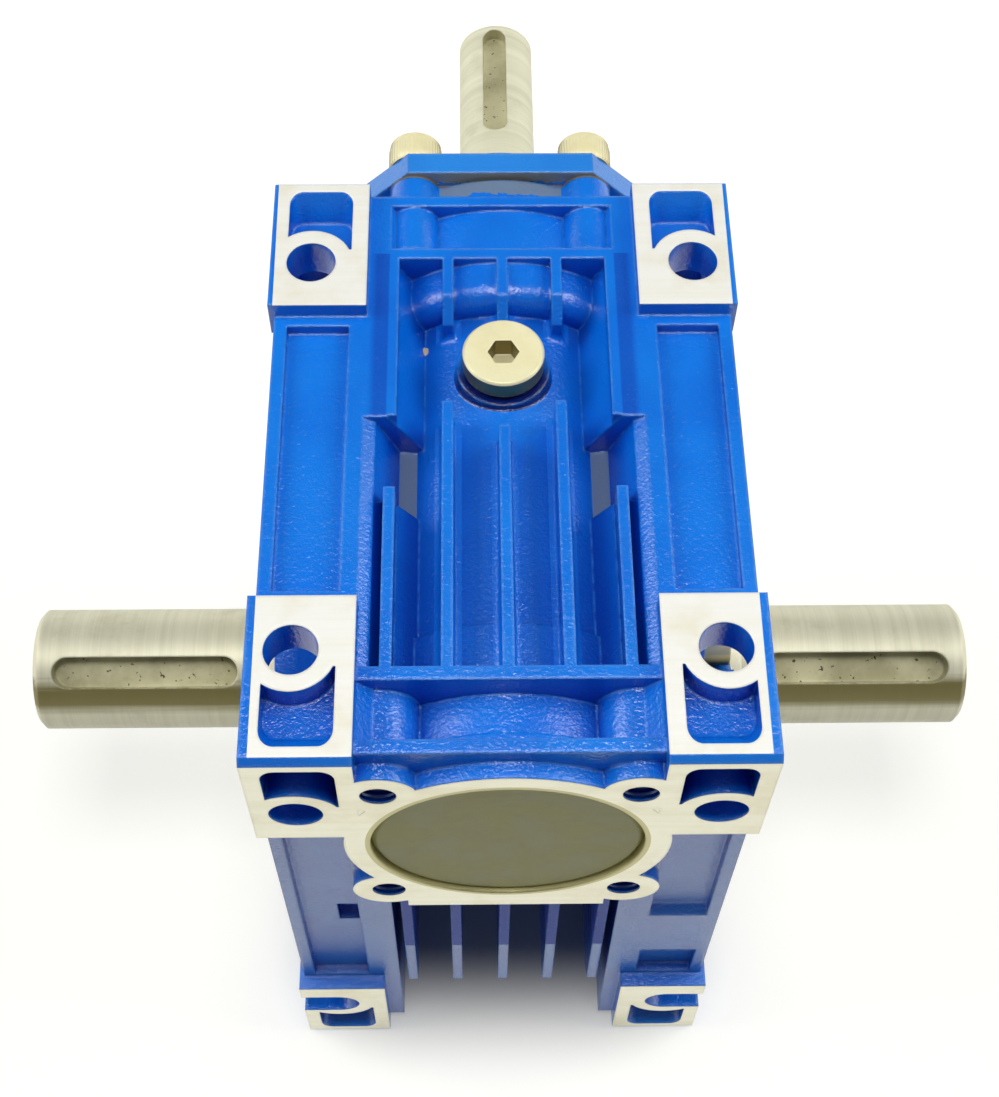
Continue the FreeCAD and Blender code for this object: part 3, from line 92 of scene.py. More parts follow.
def calc(tree, operation, *values):
    node = put(tree, "ShaderNodeMath", operation=operation)
    for index, value in enumerate(values):
        feed(tree, node.inputs[index], value)
    return node.outputs[0]


def scaled(tree, value, factor):
    return calc(tree, "MULTIPLY", value, factor)


def pushed(tree, value, step, start):
    # start plus so many steps
    return calc(tree, "MULTIPLY_ADD", value, step, start)


def strayed(tree, value, middle, spread):
    # half the spread below the middle where the value is 0, half above it where it is 1
    return pushed(tree, value, spread, middle - spread / 2)


def smoothStep(tree, value, low, high):
    # 0 below low, 1 above high, a smooth ramp between; low may be the greater one
    node = put(tree, "ShaderNodeMapRange", {"Value": value, "From Min": low, "From Max": high},
               interpolation_type="SMOOTHSTEP")
    return node.outputs["Result"]


def blendColour(tree, share, first, second):
    node = put(tree, "ShaderNodeMix", {"Factor": share, "A": first, "B": second}, data_type="RGBA")
    return node.outputs["Result"]


def blendValue(tree, share, first, second):
    node = put(tree, "ShaderNodeMix", {"Factor": share, "A": first, "B": second}, data_type="FLOAT")
    return node.outputs["Result"]


def noise(tree, vector, scale, detail=2.0, roughness=0.5):
    node = put(tree, "ShaderNodeTexNoise",
               {"Vector": vector, "Scale": scale, "Detail": detail, "Roughness": roughness})
    return node.outputs["Fac"]


def stretched(tree, vector, scale):
    # the same coordinates with each axis multiplied, for marks that run one way
    return put(tree, "ShaderNodeMapping", {"Vector": vector, "Scale": scale}).outputs["Vector"]


def addRelief(tree, shader, height, normal):
    bump = put(tree, "ShaderNodeBump", {"Height": height, "Normal": normal, "Strength": 1.0, "Distance": 1.0})
    feed(tree, shader.inputs["Normal"], bump.outputs["Normal"])


def startMaterial(name):
    material = bpy.data.materials.new(name)
    material.use_nodes = True
    tree = material.node_tree
    tree.nodes.clear()
    shader = put(tree, "ShaderNodeBsdfPrincipled")
    output = put(tree, "ShaderNodeOutputMaterial")
    tree.links.new(shader.outputs["BSDF"], output.inputs["Surface"])
    place = put(tree, "ShaderNodeTexCoord")
    return material, tree, shader, place


def startGroup(name, inputs, outputs):
    group = bpy.data.node_groups.new(name, "ShaderNodeTree")
    for label, kind, value in inputs:
        socket = group.interface.new_socket(name=label, in_out="INPUT", socket_type=kind)
        if value is not None:
            socket.default_value = value
    for label, kind in outputs:
        group.interface.new_socket(name=label, in_out="OUTPUT", socket_type=kind)
    start = put(group, "NodeGroupInput")
    end = put(group, "NodeGroupOutput")
    return group, start.outputs, end.inputs


def useGroup(tree, group, inputs):
    return put(tree, "ShaderNodeGroup", inputs, node_tree=group).outputs


# Small helpers for masks, which are 1 where something lies and 0 elsewhere

def axisSplit(tree, vector):
    node = put(tree, "ShaderNodeSeparateXYZ", {"Vector": vector})
    return node.outputs["X"], node.outputs["Y"], node.outputs["Z"]


def unsigned(tree, value):
    return calc(tree, "ABSOLUTE", value)


def fromCentre(tree, value, centre):
    return calc(tree, "SUBTRACT", value, centre)


def beyond(tree, value, level):
    return calc(tree, "GREATER_THAN", value, level)


def below(tree, value, level):
    return calc(tree, "LESS_THAN", value, level)


def anyOf(tree, *masks):
    total = masks[0]
    for mask in masks[1:]:
        total = calc(tree, "MAXIMUM", total, mask)
    return total


def allOf(tree, *masks):
    total = masks[0]
    for mask in masks[1:]:
        total = calc(tree, "MULTIPLY", total, mask)
    return total


def within(tree, value, low, high):
    return allOf(tree, beyond(tree, value, low), below(tree, value, high))


def reach(tree, first, second):
    # how far away a point is, from its two distances across
    squares = calc(tree, "ADD", calc(tree, "MULTIPLY", first, first), calc(tree, "MULTIPLY", second, second))
    return calc(tree, "SQRT", squares)


def roundHole(tree, first, second, radius):
    # 1 within radius of a hole's axis, from the two distances across it
    return below(tree, reach(tree, first, second), radius)


def nowhere(tree, place):
    return 0.0


def everywhere(tree, place):
    return 1.0


# Effects shared by several materials

edgeWearAndHighlightLook = {"radius": 0.0008, "samples": 6, "leanRange": (0.02, 0.22),
                "breakup": 400.0, "raggedRange": (0.35, 0.6)}


def makeEdgeWearAndHighlight():
    # 1 along edges, used for worn edges and a painted highlight along them: how far a normal averaged over
    # Radius leans from the face's own normal
    group, given, result = startGroup(
        "edgeWearAndHighlight",
        [("Vector", "NodeSocketVector", None), ("Radius", "NodeSocketFloat", edgeWearAndHighlightLook["radius"]),
         ("Breakup", "NodeSocketFloat", edgeWearAndHighlightLook["breakup"])],
        [("Edge", "NodeSocketFloat"), ("Normal", "NodeSocketVector")])
    soft = put(group, "ShaderNodeBevel", {"Radius": given["Radius"]}, samples=edgeWearAndHighlightLook["samples"])
    own = put(group, "ShaderNodeNewGeometry")
    likeness = put(group, "ShaderNodeVectorMath", {0: soft.outputs["Normal"], 1: own.outputs["Normal"]},
                   operation="DOT_PRODUCT")
    lean = calc(group, "SUBTRACT", 1.0, likeness.outputs["Value"])
    edge = smoothStep(group, lean, *edgeWearAndHighlightLook["leanRange"])
    ragged = noise(group, given["Vector"], given["Breakup"], detail=3.0)
    broken = smoothStep(group, ragged, *edgeWearAndHighlightLook["raggedRange"])
    feed(group, result["Edge"], calc(group, "MULTIPLY", edge, broken))
    feed(group, result["Normal"], soft.outputs["Normal"])
    return group


castGrainLook = {"pebble": 1400.0, "peel": 3000.0, "peelShare": 0.5, "patch": 45.0}


def makeCastGrain():
    # sand-cast skin under paint: low pebbles plus a share of fine orange peel, and broad cloudy patches
    group, given, result = startGroup(
        "castGrain",
        [("Vector", "NodeSocketVector", None), ("Pebble", "NodeSocketFloat", castGrainLook["pebble"]),
         ("Peel", "NodeSocketFloat", castGrainLook["peel"])],
        [("Height", "NodeSocketFloat"), ("Patch", "NodeSocketFloat")])
    pebbles = noise(group, given["Vector"], given["Pebble"])
    peel = noise(group, given["Vector"], given["Peel"])
    feed(group, result["Height"], pushed(group, peel, castGrainLook["peelShare"], pebbles))
    feed(group, result["Patch"], noise(group, given["Vector"], castGrainLook["patch"], detail=3.0))
    return group


toolMarkLook = {"fineRoughness": 0.7, "broad": 0.22, "broadShare": 0.6, "stain": 90.0, "stainRoughness": 0.6}


def makeToolMarks():
    # fine parallel lines left by a cutter; Lines holds coordinates already stretched across the cut
    group, given, result = startGroup(
        "toolMarks",
        [("Lines", "NodeSocketVector", None), ("Vector", "NodeSocketVector", None)],
        [("Height", "NodeSocketFloat"), ("Streak", "NodeSocketFloat"), ("Stain", "NodeSocketFloat")])
    fine = noise(group, given["Lines"], 1.0, detail=4.0, roughness=toolMarkLook["fineRoughness"])
    broad = noise(group, given["Lines"], toolMarkLook["broad"])
    fineShare = scaled(group, fine, 1 - toolMarkLook["broadShare"])
    feed(group, result["Height"], fine)
    feed(group, result["Streak"], pushed(group, broad, toolMarkLook["broadShare"], fineShare))
    stain = noise(group, given["Vector"], toolMarkLook["stain"], detail=4.0,
                  roughness=toolMarkLook["stainRoughness"])
    feed(group, result["Stain"], stain)
    return group


hollowLook = {"reach": 0.015, "samples": 6, "openRange": (0.55, 0.16)}


def makeHollowShade():
    # 1 deep in a hollow, where painted shade goes: how much of the space within Reach of the surface the
    # piece itself takes up
    group, given, result = startGroup("hollowShade", [("Reach", "NodeSocketFloat", hollowLook["reach"])],
                                      [("Depth", "NodeSocketFloat")])
    near = put(group, "ShaderNodeAmbientOcclusion", {"Distance": given["Reach"]},
               samples=hollowLook["samples"], only_local=True)
    feed(group, result["Depth"], smoothStep(group, near.outputs["AO"], *hollowLook["openRange"]))
    return group


edgeWearAndHighlight = makeEdgeWearAndHighlight()
castGrain = makeCastGrain()
toolMarks = makeToolMarks()
hollowShade = makeHollowShade()
print("shared effects ready")


# Where the castings' paint is missing, thin or chipped, where painted shade and shadow go, and where threads
# lie

milledFaces = {"flangeRadius": 0.0505, "capBore": 0.0244, "marginMiddle": 0.00115, "marginSlope": -0.0075}


def boreOnHousing(tree, place):
    # the bored seat round the end cap, bare and filmed with oil
    x, y, z = axisSplit(tree, place.outputs["Object"])
    inBore = roundHole(tree, x, fromCentre(tree, z, casting["wormHeight"]), milledFaces["capBore"])
    return allOf(tree, inBore, below(tree, y, casting["nearEnd"]))


def bareOnHousing(tree, place):
    # faces machined after painting: pads on four sides, the ring with its lobes, both side flanges and
    # the end cap's seat
    x, y, z = axisSplit(tree, place.outputs["Object"])
    nx, ny, nz = axisSplit(tree, place.outputs["Normal"])
    sideX = unsigned(tree, x)
    slack = casting["faceSlack"]
    facing = casting["squareOn"]
    # paint is left along the outer edges of the top pads, more of it on the near ones
    margin = pushed(tree, y, milledFaces["marginSlope"], milledFaces["marginMiddle"])
    inside = below(tree, calc(tree, "ADD", sideX, margin), casting["halfWidth"])
    topPads = allOf(tree, beyond(tree, z, casting["top"] - slack), beyond(tree, nz, facing), inside)
    basePads = allOf(tree, below(tree, z, slack), below(tree, nz, -facing))
    atEnds = beyond(tree, unsigned(tree, y), casting["halfLength"] - slack)
    endFaces = allOf(tree, atEnds, beyond(tree, unsigned(tree, ny), facing))
    onFlange = roundHole(tree, y, fromCentre(tree, z, casting["outputHeight"]), milledFaces["flangeRadius"])
    flanges = allOf(tree, beyond(tree, sideX, casting["halfWidth"] - slack), onFlange)
    return anyOf(tree, topPads, basePads, endFaces, flanges, boreOnHousing(tree, place))


coverBack = {"place": 0.0643, "facing": -0.5, "tongueScale": 330.0, "tongueRoughness": 0.65,
             "tongueHeight": 0.0046, "tongueDrop": 0.0014}


def bareOnInputCover(tree, place):
    # the back of the cover plate, where paint has crept up from the neck in ragged tongues
    where = place.outputs["Object"]
    x, y, z = axisSplit(tree, where)
    nx, ny, nz = axisSplit(tree, place.outputs["Normal"])
    back = allOf(tree, below(tree, y, coverBack["place"]), below(tree, ny, coverBack["facing"]))
    tongues = noise(tree, where, coverBack["tongueScale"], detail=4.0, roughness=coverBack["tongueRoughness"])
    start = casting["neckTop"] - coverBack["tongueDrop"]
    return allOf(tree, back, beyond(tree, z, pushed(tree, tongues, coverBack["tongueHeight"], start)))


def bareOnOutputCover(tree, place):
    # the cover's outer face and its pilot are turned bright
    x, y, z = axisSplit(tree, place.outputs["Object"])
    return beyond(tree, x, casting["halfWidth"] - casting["faceSlack"])


thinShelf = {"inner": 0.0150, "outer": 0.0190, "near": -0.007, "far": 0.0075, "level": 0.1285, "rise": 0.004,
             "tearScale": 900.0, "tear": 0.0012}
thinNeck = {"front": 0.0617, "half": 0.0117, "drop": 0.004, "facing": 0.3,
            "tearScale": 420.0, "tearRoughness": 0.65, "tear": 0.003}


def thinOnHousing(tree, place):
    where = place.outputs["Object"]
    x, y, z = axisSplit(tree, where)
    nx, ny, nz = axisSplit(tree, place.outputs["Normal"])
    sideX = unsigned(tree, x)
    # little paint reaches the shelves between the fins, so the metal shows through it
    torn = pushed(tree, noise(tree, where, thinShelf["tearScale"]), thinShelf["tear"], sideX)
    onShelf = allOf(tree, beyond(tree, torn, thinShelf["inner"]), below(tree, sideX, thinShelf["outer"]))
    between = within(tree, y, thinShelf["near"], thinShelf["far"])
    level = within(tree, z, thinShelf["level"], thinShelf["level"] + thinShelf["rise"])
    shelf = allOf(tree, onShelf, between, level, beyond(tree, nz, casting["squareOn"]))
    # nor does much of it reach the gap between the last cross wall and the input cover
    shreds = noise(tree, where, thinNeck["tearScale"], detail=4.0, roughness=thinNeck["tearRoughness"])
    inGap = beyond(tree, pushed(tree, shreds, thinNeck["tear"], y), thinNeck["front"])
    high = beyond(tree, z, casting["neckTop"] - thinNeck["drop"])
    gap = allOf(tree, inGap, high, beyond(tree, nz, thinNeck["facing"]), below(tree, sideX, thinNeck["half"]))
    return anyOf(tree, shelf, gap)


paintChip = {"place": (-0.01433, 0.02964, 0.13048), "radius": 0.0012, "tearScale": 1500.0, "tear": 0.0008}


def chipOnHousing(tree, place):
    # one spot where a knock has taken the paint off
    where = place.outputs["Object"]
    away = put(tree, "ShaderNodeVectorMath", {0: where, 1: paintChip["place"]}, operation="DISTANCE")
    torn = pushed(tree, noise(tree, where, paintChip["tearScale"]), paintChip["tear"], away.outputs["Value"])
    return below(tree, torn, paintChip["radius"])


endFins = {"half": 0.0215, "break": 0.0487, "top": 0.080}


def ringShadowOnHousing(tree, place):
    # painted shadow of the ring on the upper half of the thin fins under it, where the paint is also rougher
    x, y, z = axisSplit(tree, place.outputs["Object"])
    onFins = allOf(tree, below(tree, unsigned(tree, x), endFins["half"]), below(tree, y, casting["nearEnd"]))
    return allOf(tree, onFins, within(tree, z, endFins["break"], endFins["top"]))


darkStrip = {"inner": 0.0208, "outer": 0.0236, "near": 0.0078, "far": 0.0445, "level": 0.1405,
             "innerBlur": 0.0002, "outerBlur": 0.0008, "share": 0.6}


def shadeOnHousing(tree, place):
    # painted shade along the strip beside the far outer fins, standing for a sunken strip that is not
    # modelled
    x, y, z = axisSplit(tree, place.outputs["Object"])
    sideX = unsigned(tree, x)
    inner, innerBlur = darkStrip["inner"], darkStrip["innerBlur"]
    outer, outerBlur = darkStrip["outer"], darkStrip["outerBlur"]
    across = allOf(tree, smoothStep(tree, sideX, inner - innerBlur, inner + innerBlur),
                   smoothStep(tree, sideX, outer + outerBlur, outer - outerBlur))
    along = within(tree, y, darkStrip["near"], darkStrip["far"])
    strip = allOf(tree, across, along, beyond(tree, z, darkStrip["level"]))
    return scaled(tree, strip, darkStrip["share"])


plugFoot = {"reach": 0.0005, "blur": 0.003}


def footOnHousing(tree, place):
    # painted shadow in the angle under the plug's head, on the near side of its boss
    x, y, z = axisSplit(tree, place.outputs["Object"])
    fromPlug = fromCentre(tree, y, casting["plugPlace"])
    atPlug = roundHole(tree, x, fromPlug, casting["bossRadius"] + plugFoot["reach"])
    return allOf(tree, atPlug, smoothStep(tree, fromPlug, plugFoot["blur"], -plugFoot["blur"]))


lobeThread = {"place": 0.0212, "radius": 0.0038, "pitch": 0.00125, "depth": 0.0002}


def threadOnHousing(tree, place):
    # a screw thread in the four lobe holes: a sine wave along the hole, kept to its wall
    x, y, z = axisSplit(tree, place.outputs["Object"])
    fromX = fromCentre(tree, unsigned(tree, x), lobeThread["place"])
    above = unsigned(tree, fromCentre(tree, z, casting["wormHeight"]))
    inside = roundHole(tree, fromX, fromCentre(tree, above, lobeThread["place"]), lobeThread["radius"])
    wave = calc(tree, "SINE", scaled(tree, y, 2 * math.pi / lobeThread["pitch"]))
    return allOf(tree, inside, below(tree, y, casting["nearEnd"]), wave)


# Gloss paint over a casting, with milled faces

paintLook = {
    "blue": (0.0012, 0.208, 0.83, 1),
    "deepBlue": (0.0008, 0.168, 0.76, 1),
    # painted shade for hollows, the ring's shadow and the strip beside the far fins
    "hollowShadeBlue": (0.0003, 0.048, 0.46, 1),
    # painted shadow at the plug's foot
    "footBlue": (0.0003, 0.010, 0.13, 1),
    "thinBlue": (0.16, 0.235, 0.36, 1),
    # paler edges: partly worn paint, partly a painted highlight
    "edgeWearAndHighlightBlue": (0.018, 0.30, 0.93, 1),
    "chipColour": (0.72, 0.60, 0.42, 1),
    "patchRange": (0.35, 0.65),
    "hollowReach": 0.016,
    "edgeRadius": 0.0009,
    "edgeShare": 0.75,
    "index": 1.8,
    "roughness": 0.20,
    "roughSpread": 0.1,
    "underRingRoughness": 0.45,
    "grainDepth": 0.00013,
}
filletPaint = {**paintLook, "edgeRadius": 0.00002}
coverPaint = {**paintLook, "blue": (0.022, 0.265, 0.82, 1), "deepBlue": (0.018, 0.235, 0.77, 1)}

brightFace = {
    "level": (0.97, 0.965, 0.90, 1),
    "upright": (0.97, 0.95, 0.78, 1),
    "stain": (0.82, 0.77, 0.55, 1),
    "oiled": (0.60, 0.56, 0.29, 1),
    "streakRange": (0.4, 0.7),
    "streakShare": 0.3,
    "stainRange": (0.45, 0.75),
    "stainShare": 0.6,
    "levelMetallic": 0.12,
    "uprightMetallic": 0.72,
    "roughness": 0.47,
    "roughSpread": 0.2,
    "lines": (60, 2400, 2400),
    "markDepth": 0.00002,
}
darkFace = {
    **brightFace,
    "level": (0.36, 0.36, 0.31, 1),
    "upright": (0.36, 0.36, 0.31, 1),
    "stain": (0.17, 0.175, 0.155, 1),
    "levelMetallic": 0.3,
    "uprightMetallic": 0.3,
    "roughness": 0.45,
    "markDepth": 0.00004,
}
# every kind of mask that a painted casting can have, with the housing's own
housingMasks = {
    "bare": bareOnHousing,
    "thin": thinOnHousing,
    "chip": chipOnHousing,
    "ringShadow": ringShadowOnHousing,
    "shade": shadeOnHousing,
    "foot": footOnHousing,
    "thread": threadOnHousing,
    "oiled": boreOnHousing,
}


def paintColour(tree, paint, masks, grain, wearAndHighlight):
    # two blues in cloudy patches, with painted shade in hollows, in the ring's shadow and along the strip,
    # and painted shadow darkest at the plug's foot; then thin places, edges paler from worn paint and a
    # painted highlight, and the chip
    patch = smoothStep(tree, grain["Patch"], *paint["patchRange"])
    blue = blendColour(tree, patch, paint["deepBlue"], paint["blue"])
    hollow = useGroup(tree, hollowShade, {"Reach": paint["hollowReach"]})["Depth"]
    blue = blendColour(tree, anyOf(tree, hollow, masks["ringShadow"], masks["shade"]), blue, paint["hollowShadeBlue"])
    blue = blendColour(tree, masks["foot"], blue, paint["footBlue"])
    blue = blendColour(tree, masks["thin"], blue, paint["thinBlue"])
    blue = blendColour(tree, scaled(tree, wearAndHighlight["Edge"], paint["edgeShare"]), blue, paint["edgeWearAndHighlightBlue"])
    return blendColour(tree, masks["chip"], blue, paint["chipColour"])


def milledColour(tree, face, masks, marks, level):
    # level faces and upright ones have their own colour, with streaks, stains and oil over it
    metal = blendColour(tree, level, face["upright"], face["level"])
    streak = smoothStep(tree, marks["Streak"], *face["streakRange"])
    metal = blendColour(tree, scaled(tree, streak, face["streakShare"]), metal, face["stain"])
    stain = smoothStep(tree, marks["Stain"], *face["stainRange"])
    metal = blendColour(tree, scaled(tree, stain, face["stainShare"]), metal, face["stain"])
    return blendColour(tree, masks["oiled"], metal, face["oiled"])


def makePaintedCasting(name, paint, face, **given):
    # paint, and bare metal where the bare mask says; a kind of mask that isn't given lies nowhere
    material, tree, shader, place = startMaterial(name)
    where = place.outputs["Object"]
    masks = {kind: given.get(kind, nowhere)(tree, place) for kind in housingMasks}
    bare = masks["bare"]
    wearAndHighlight = useGroup(tree, edgeWearAndHighlight, {"Vector": where, "Radius": paint["edgeRadius"]})
    grain = useGroup(tree, castGrain, {"Vector": where})
    marks = useGroup(tree, toolMarks, {"Lines": stretched(tree, where, face["lines"]), "Vector": where})
    level = beyond(tree, axisSplit(tree, where)[2], casting["top"] - casting["faceSlack"])
    coat = paintColour(tree, paint, masks, grain, wearAndHighlight)
    metal = milledColour(tree, face, masks, marks, level)
    feed(tree, shader.inputs["Base Color"], blendColour(tree, bare, coat, metal))
    sheen = blendValue(tree, level, face["uprightMetallic"], face["levelMetallic"])
    feed(tree, shader.inputs["Metallic"], calc(tree, "MULTIPLY", bare, sheen))
    gloss = strayed(tree, grain["Patch"], paint["roughness"], paint["roughSpread"])
    gloss = pushed(tree, masks["ringShadow"], paint["underRingRoughness"], gloss)
    dull = strayed(tree, marks["Streak"], face["roughness"], face["roughSpread"])
    feed(tree, shader.inputs["Roughness"], blendValue(tree, bare, gloss, dull))
    shader.inputs["IOR"].default_value = paint["index"]
    painted = scaled(tree, grain["Height"], paint["grainDepth"])
    painted = pushed(tree, masks["thread"], lobeThread["depth"], painted)
    milled = scaled(tree, marks["Height"], face["markDepth"])
    addRelief(tree, shader, blendValue(tree, bare, painted, milled), wearAndHighlight["Normal"])
    return material


# Turned steel, plate and bronze

# a painted dark reflection band on the output shaft's front side
darkReflectionBand = {"colour": (0.20, 0.165, 0.035, 1), "share": 0.92, "radius": 0.0125, "lines": (30, 900, 900),
           "stray": 0.16, "lowerEdge": (0.22, 0.46), "upperEdge": (0.82, 0.66)}


def reflectionBandOnOutput(tree, place):
    # a painted dark reflection along the shaft's front side, under the keyways, drawn out lengthways
    where = place.outputs["Object"]
    x, y, z = axisSplit(tree, where)
    drawn = noise(tree, stretched(tree, where, darkReflectionBand["lines"]), 1.0, detail=3.0)
    rise = calc(tree, "DIVIDE", fromCentre(tree, z, casting["outputHeight"]), darkReflectionBand["radius"])
    rise = pushed(tree, fromCentre(tree, drawn, 0.5), darkReflectionBand["stray"], rise)
    aboveLower = smoothStep(tree, rise, *darkReflectionBand["lowerEdge"])
    belowUpper = smoothStep(tree, rise, *darkReflectionBand["upperEdge"])
    return allOf(tree, aboveLower, belowUpper, below(tree, y, 0.0))


keyways = {"outputRadius": 0.0122, "outputEnd": 0.0945, "inputRadius": 0.0077, "inputSpan": (0.0905, 0.1285)}


def slotsOnOutput(tree, place):
    # the milled keyways: inside the shaft's own radius, but not at its turned ends
    x, y, z = axisSplit(tree, place.outputs["Object"])
    inside = roundHole(tree, y, fromCentre(tree, z, casting["outputHeight"]), keyways["outputRadius"])
    return allOf(tree, inside, below(tree, unsigned(tree, x), keyways["outputEnd"]))


def slotOnInput(tree, place):
    # the same on the input shaft, between the keyway's own ends
    x, y, z = axisSplit(tree, place.outputs["Object"])
    inside = roundHole(tree, x, fromCentre(tree, z, casting["wormHeight"]), keyways["inputRadius"])
    return allOf(tree, inside, within(tree, y, *keyways["inputSpan"]))


slotLook = {
    "light": (0.68, 0.65, 0.42, 1),
    "dark": (0.46, 0.43, 0.25, 1),
    "cloudRange": (0.35, 0.65),
    "pit": (0.10, 0.085, 0.035, 1),
    "pitScale": 1000.0,
    "pitRange": (0.68, 0.74),
    "roughness": 0.55,
}
turning = {
    "streakRange": (0.3, 0.7),
    "stainRange": (0.5, 0.8),
    "upwardRange": (0.2, 0.8),
    "edgeShare": 0.6,
    "roughSpread": 0.2,
}


def slotColour(tree, where, marks):
    # a cloudy milled floor with small dark pits
    cloud = smoothStep(tree, marks["Stain"], *slotLook["cloudRange"])
    ground = blendColour(tree, cloud, slotLook["dark"], slotLook["light"])
    pits = smoothStep(tree, noise(tree, where, slotLook["pitScale"], detail=1.0), *slotLook["pitRange"])
    return blendColour(tree, pits, ground, slotLook["pit"])


def steelColour(tree, look, marks, wearAndHighlight, reflectionBand, upward):
    # streaks, then stains, the painted dark reflection band and brightened edges; faces that look sideways
    # get painted shade in the stain colour
    streak = smoothStep(tree, marks["Streak"], *turning["streakRange"])
    steel = blendColour(tree, streak, look["dark"], look["light"])
    stain = smoothStep(tree, marks["Stain"], *turning["stainRange"])
    steel = blendColour(tree, scaled(tree, stain, look["stainShare"]), steel, look["stain"])
    steel = blendColour(tree, scaled(tree, reflectionBand, darkReflectionBand["share"]), steel, darkReflectionBand["colour"])
    steel = blendColour(tree, scaled(tree, wearAndHighlight["Edge"], turning["edgeShare"]), steel, look["light"])
    sideShade = pushed(tree, upward, -look["sideShadeShare"], look["sideShadeShare"])
    return blendColour(tree, sideShade, steel, look["stain"])


def makeTurnedSteel(name, look, slotMask=nowhere, reflectionMask=nowhere):
    # tool marks are fine along the axis that look["lines"] stretches most and run on along the others
    material, tree, shader, place = startMaterial(name)
    where = place.outputs["Object"]
    wearAndHighlight = useGroup(tree, edgeWearAndHighlight, {"Vector": where, "Radius": look["edgeRadius"]})
    marks = useGroup(tree, toolMarks, {"Lines": stretched(tree, where, look["lines"]), "Vector": where})
    slot = slotMask(tree, place)
    reflectionBand = reflectionMask(tree, place)
    upward = smoothStep(tree, axisSplit(tree, place.outputs["Normal"])[2], *turning["upwardRange"])
    steel = steelColour(tree, look, marks, wearAndHighlight, reflectionBand, upward)
    feed(tree, shader.inputs["Base Color"], blendColour(tree, slot, steel, slotColour(tree, where, marks)))
    feed(tree, shader.inputs["Metallic"], blendValue(tree, upward, look["metallic"], look["levelMetallic"]))
    dull = strayed(tree, marks["Streak"], look["roughness"], turning["roughSpread"])
    feed(tree, shader.inputs["Roughness"], blendValue(tree, slot, dull, slotLook["roughness"]))
    addRelief(tree, shader, scaled(tree, marks["Height"], look["depth"]), wearAndHighlight["Normal"])
    return material


outputSteel = {
    "light": (0.87, 0.845, 0.63, 1),
    "dark": (0.76, 0.735, 0.53, 1),
    "stain": (0.38, 0.335, 0.165, 1),
    "stainShare": 0.40,
    "sideShadeShare": 0.0,
    "metallic": 0.25,
    "levelMetallic": 0.30,
    "roughness": 0.45,
    "lines": (2600, 40, 40),
    "depth": 0.000009,
    "edgeRadius": 0.0006,
}
inputSteel = {
    **outputSteel,
    "light": (0.92, 0.905, 0.68, 1),
    "dark": (0.76, 0.74, 0.53, 1),
    "stainShare": 0.45,
    "levelMetallic": 0.25,
    "roughness": 0.50,
    "lines": (60, 2600, 60),
    "depth": 0.000014,
}
zincPlate = {
    "light": (0.99, 0.94, 0.60, 1),
    "dark": (0.93, 0.84, 0.48, 1),
    "stain": (0.20, 0.16, 0.05, 1),
    "stainShare": 0.10,
    # painted shade: sides turn this far towards the stain colour
    "sideShadeShare": 0.9,
    "metallic": 0.85,
    "levelMetallic": 0.15,
    "roughness": 0.36,
    "lines": (300, 300, 300),
    "depth": 0.00001,
    "edgeRadius": 0.0005,
}
bearingSteel = {
    "light": (0.80, 0.81, 0.83, 1),
    "dark": (0.66, 0.67, 0.69, 1),
    "stain": (0.5, 0.5, 0.5, 1),
    "stainShare": 0.1,
    "sideShadeShare": 0.0,
    "metallic": 1.0,
    "levelMetallic": 1.0,
    "roughness": 0.2,
    "lines": (900, 900, 900),
    "depth": 0.00001,
    "edgeRadius": 0.0004,
}
springSteel = {
    **bearingSteel,
    "light": (0.16, 0.16, 0.17, 1),
    "dark": (0.09, 0.09, 0.10, 1),
    "roughness": 0.4,
}
wheelBronze = {
    **bearingSteel,
    "light": (0.80, 0.56, 0.25, 1),
    "dark": (0.62, 0.40, 0.15, 1),
    "roughness": 0.35,
}
softAluminium = {
    **bearingSteel,
    "light": (0.26, 0.26, 0.27, 1),
    "dark": (0.14, 0.14, 0.15, 1),
    "roughness": 0.45,
}


# Rubber and sheet

sealRubber = {
    "light": (0.035, 0.035, 0.036, 1),
    "dark": (0.02, 0.02, 0.021, 1),
    "roughness": 0.5,
    "roughSpread": 0.12,
    "edgeRadius": 0.0008,
    "cloud": 120.0,
    "cloudRange": (0.35, 0.65),
    "grain": 900.0,
    "grainDepth": 0.00006,
}
capRubber = {
    **sealRubber,
    "light": (0.46, 0.455, 0.20, 1),
    "dark": (0.35, 0.345, 0.145, 1),
    "roughness": 0.55,
}
gasketSheet = {
    **sealRubber,
    "light": (0.20, 0.18, 0.15, 1),
    "dark": (0.14, 0.13, 0.11, 1),
    "roughness": 0.8,
}


def makeRubber(name, look):
    # two tones in clouds, duller where it is paler, with a fine grain
    material, tree, shader, place = startMaterial(name)
    where = place.outputs["Object"]
    wearAndHighlight = useGroup(tree, edgeWearAndHighlight, {"Vector": where, "Radius": look["edgeRadius"]})
    cloud = smoothStep(tree, noise(tree, where, look["cloud"], detail=4.0), *look["cloudRange"])
    feed(tree, shader.inputs["Base Color"], blendColour(tree, cloud, look["dark"], look["light"]))
    feed(tree, shader.inputs["Roughness"], strayed(tree, cloud, look["roughness"], look["roughSpread"]))
    grain = noise(tree, where, look["grain"], detail=3.0)
    addRelief(tree, shader, scaled(tree, grain, look["grainDepth"]), wearAndHighlight["Normal"])
    return material


def dress(material, *names):
    # each of the named parts gets this one material
    for name in names:
        piece = parts[name]
        piece.data.materials.clear()
        piece.data.materials.append(material)


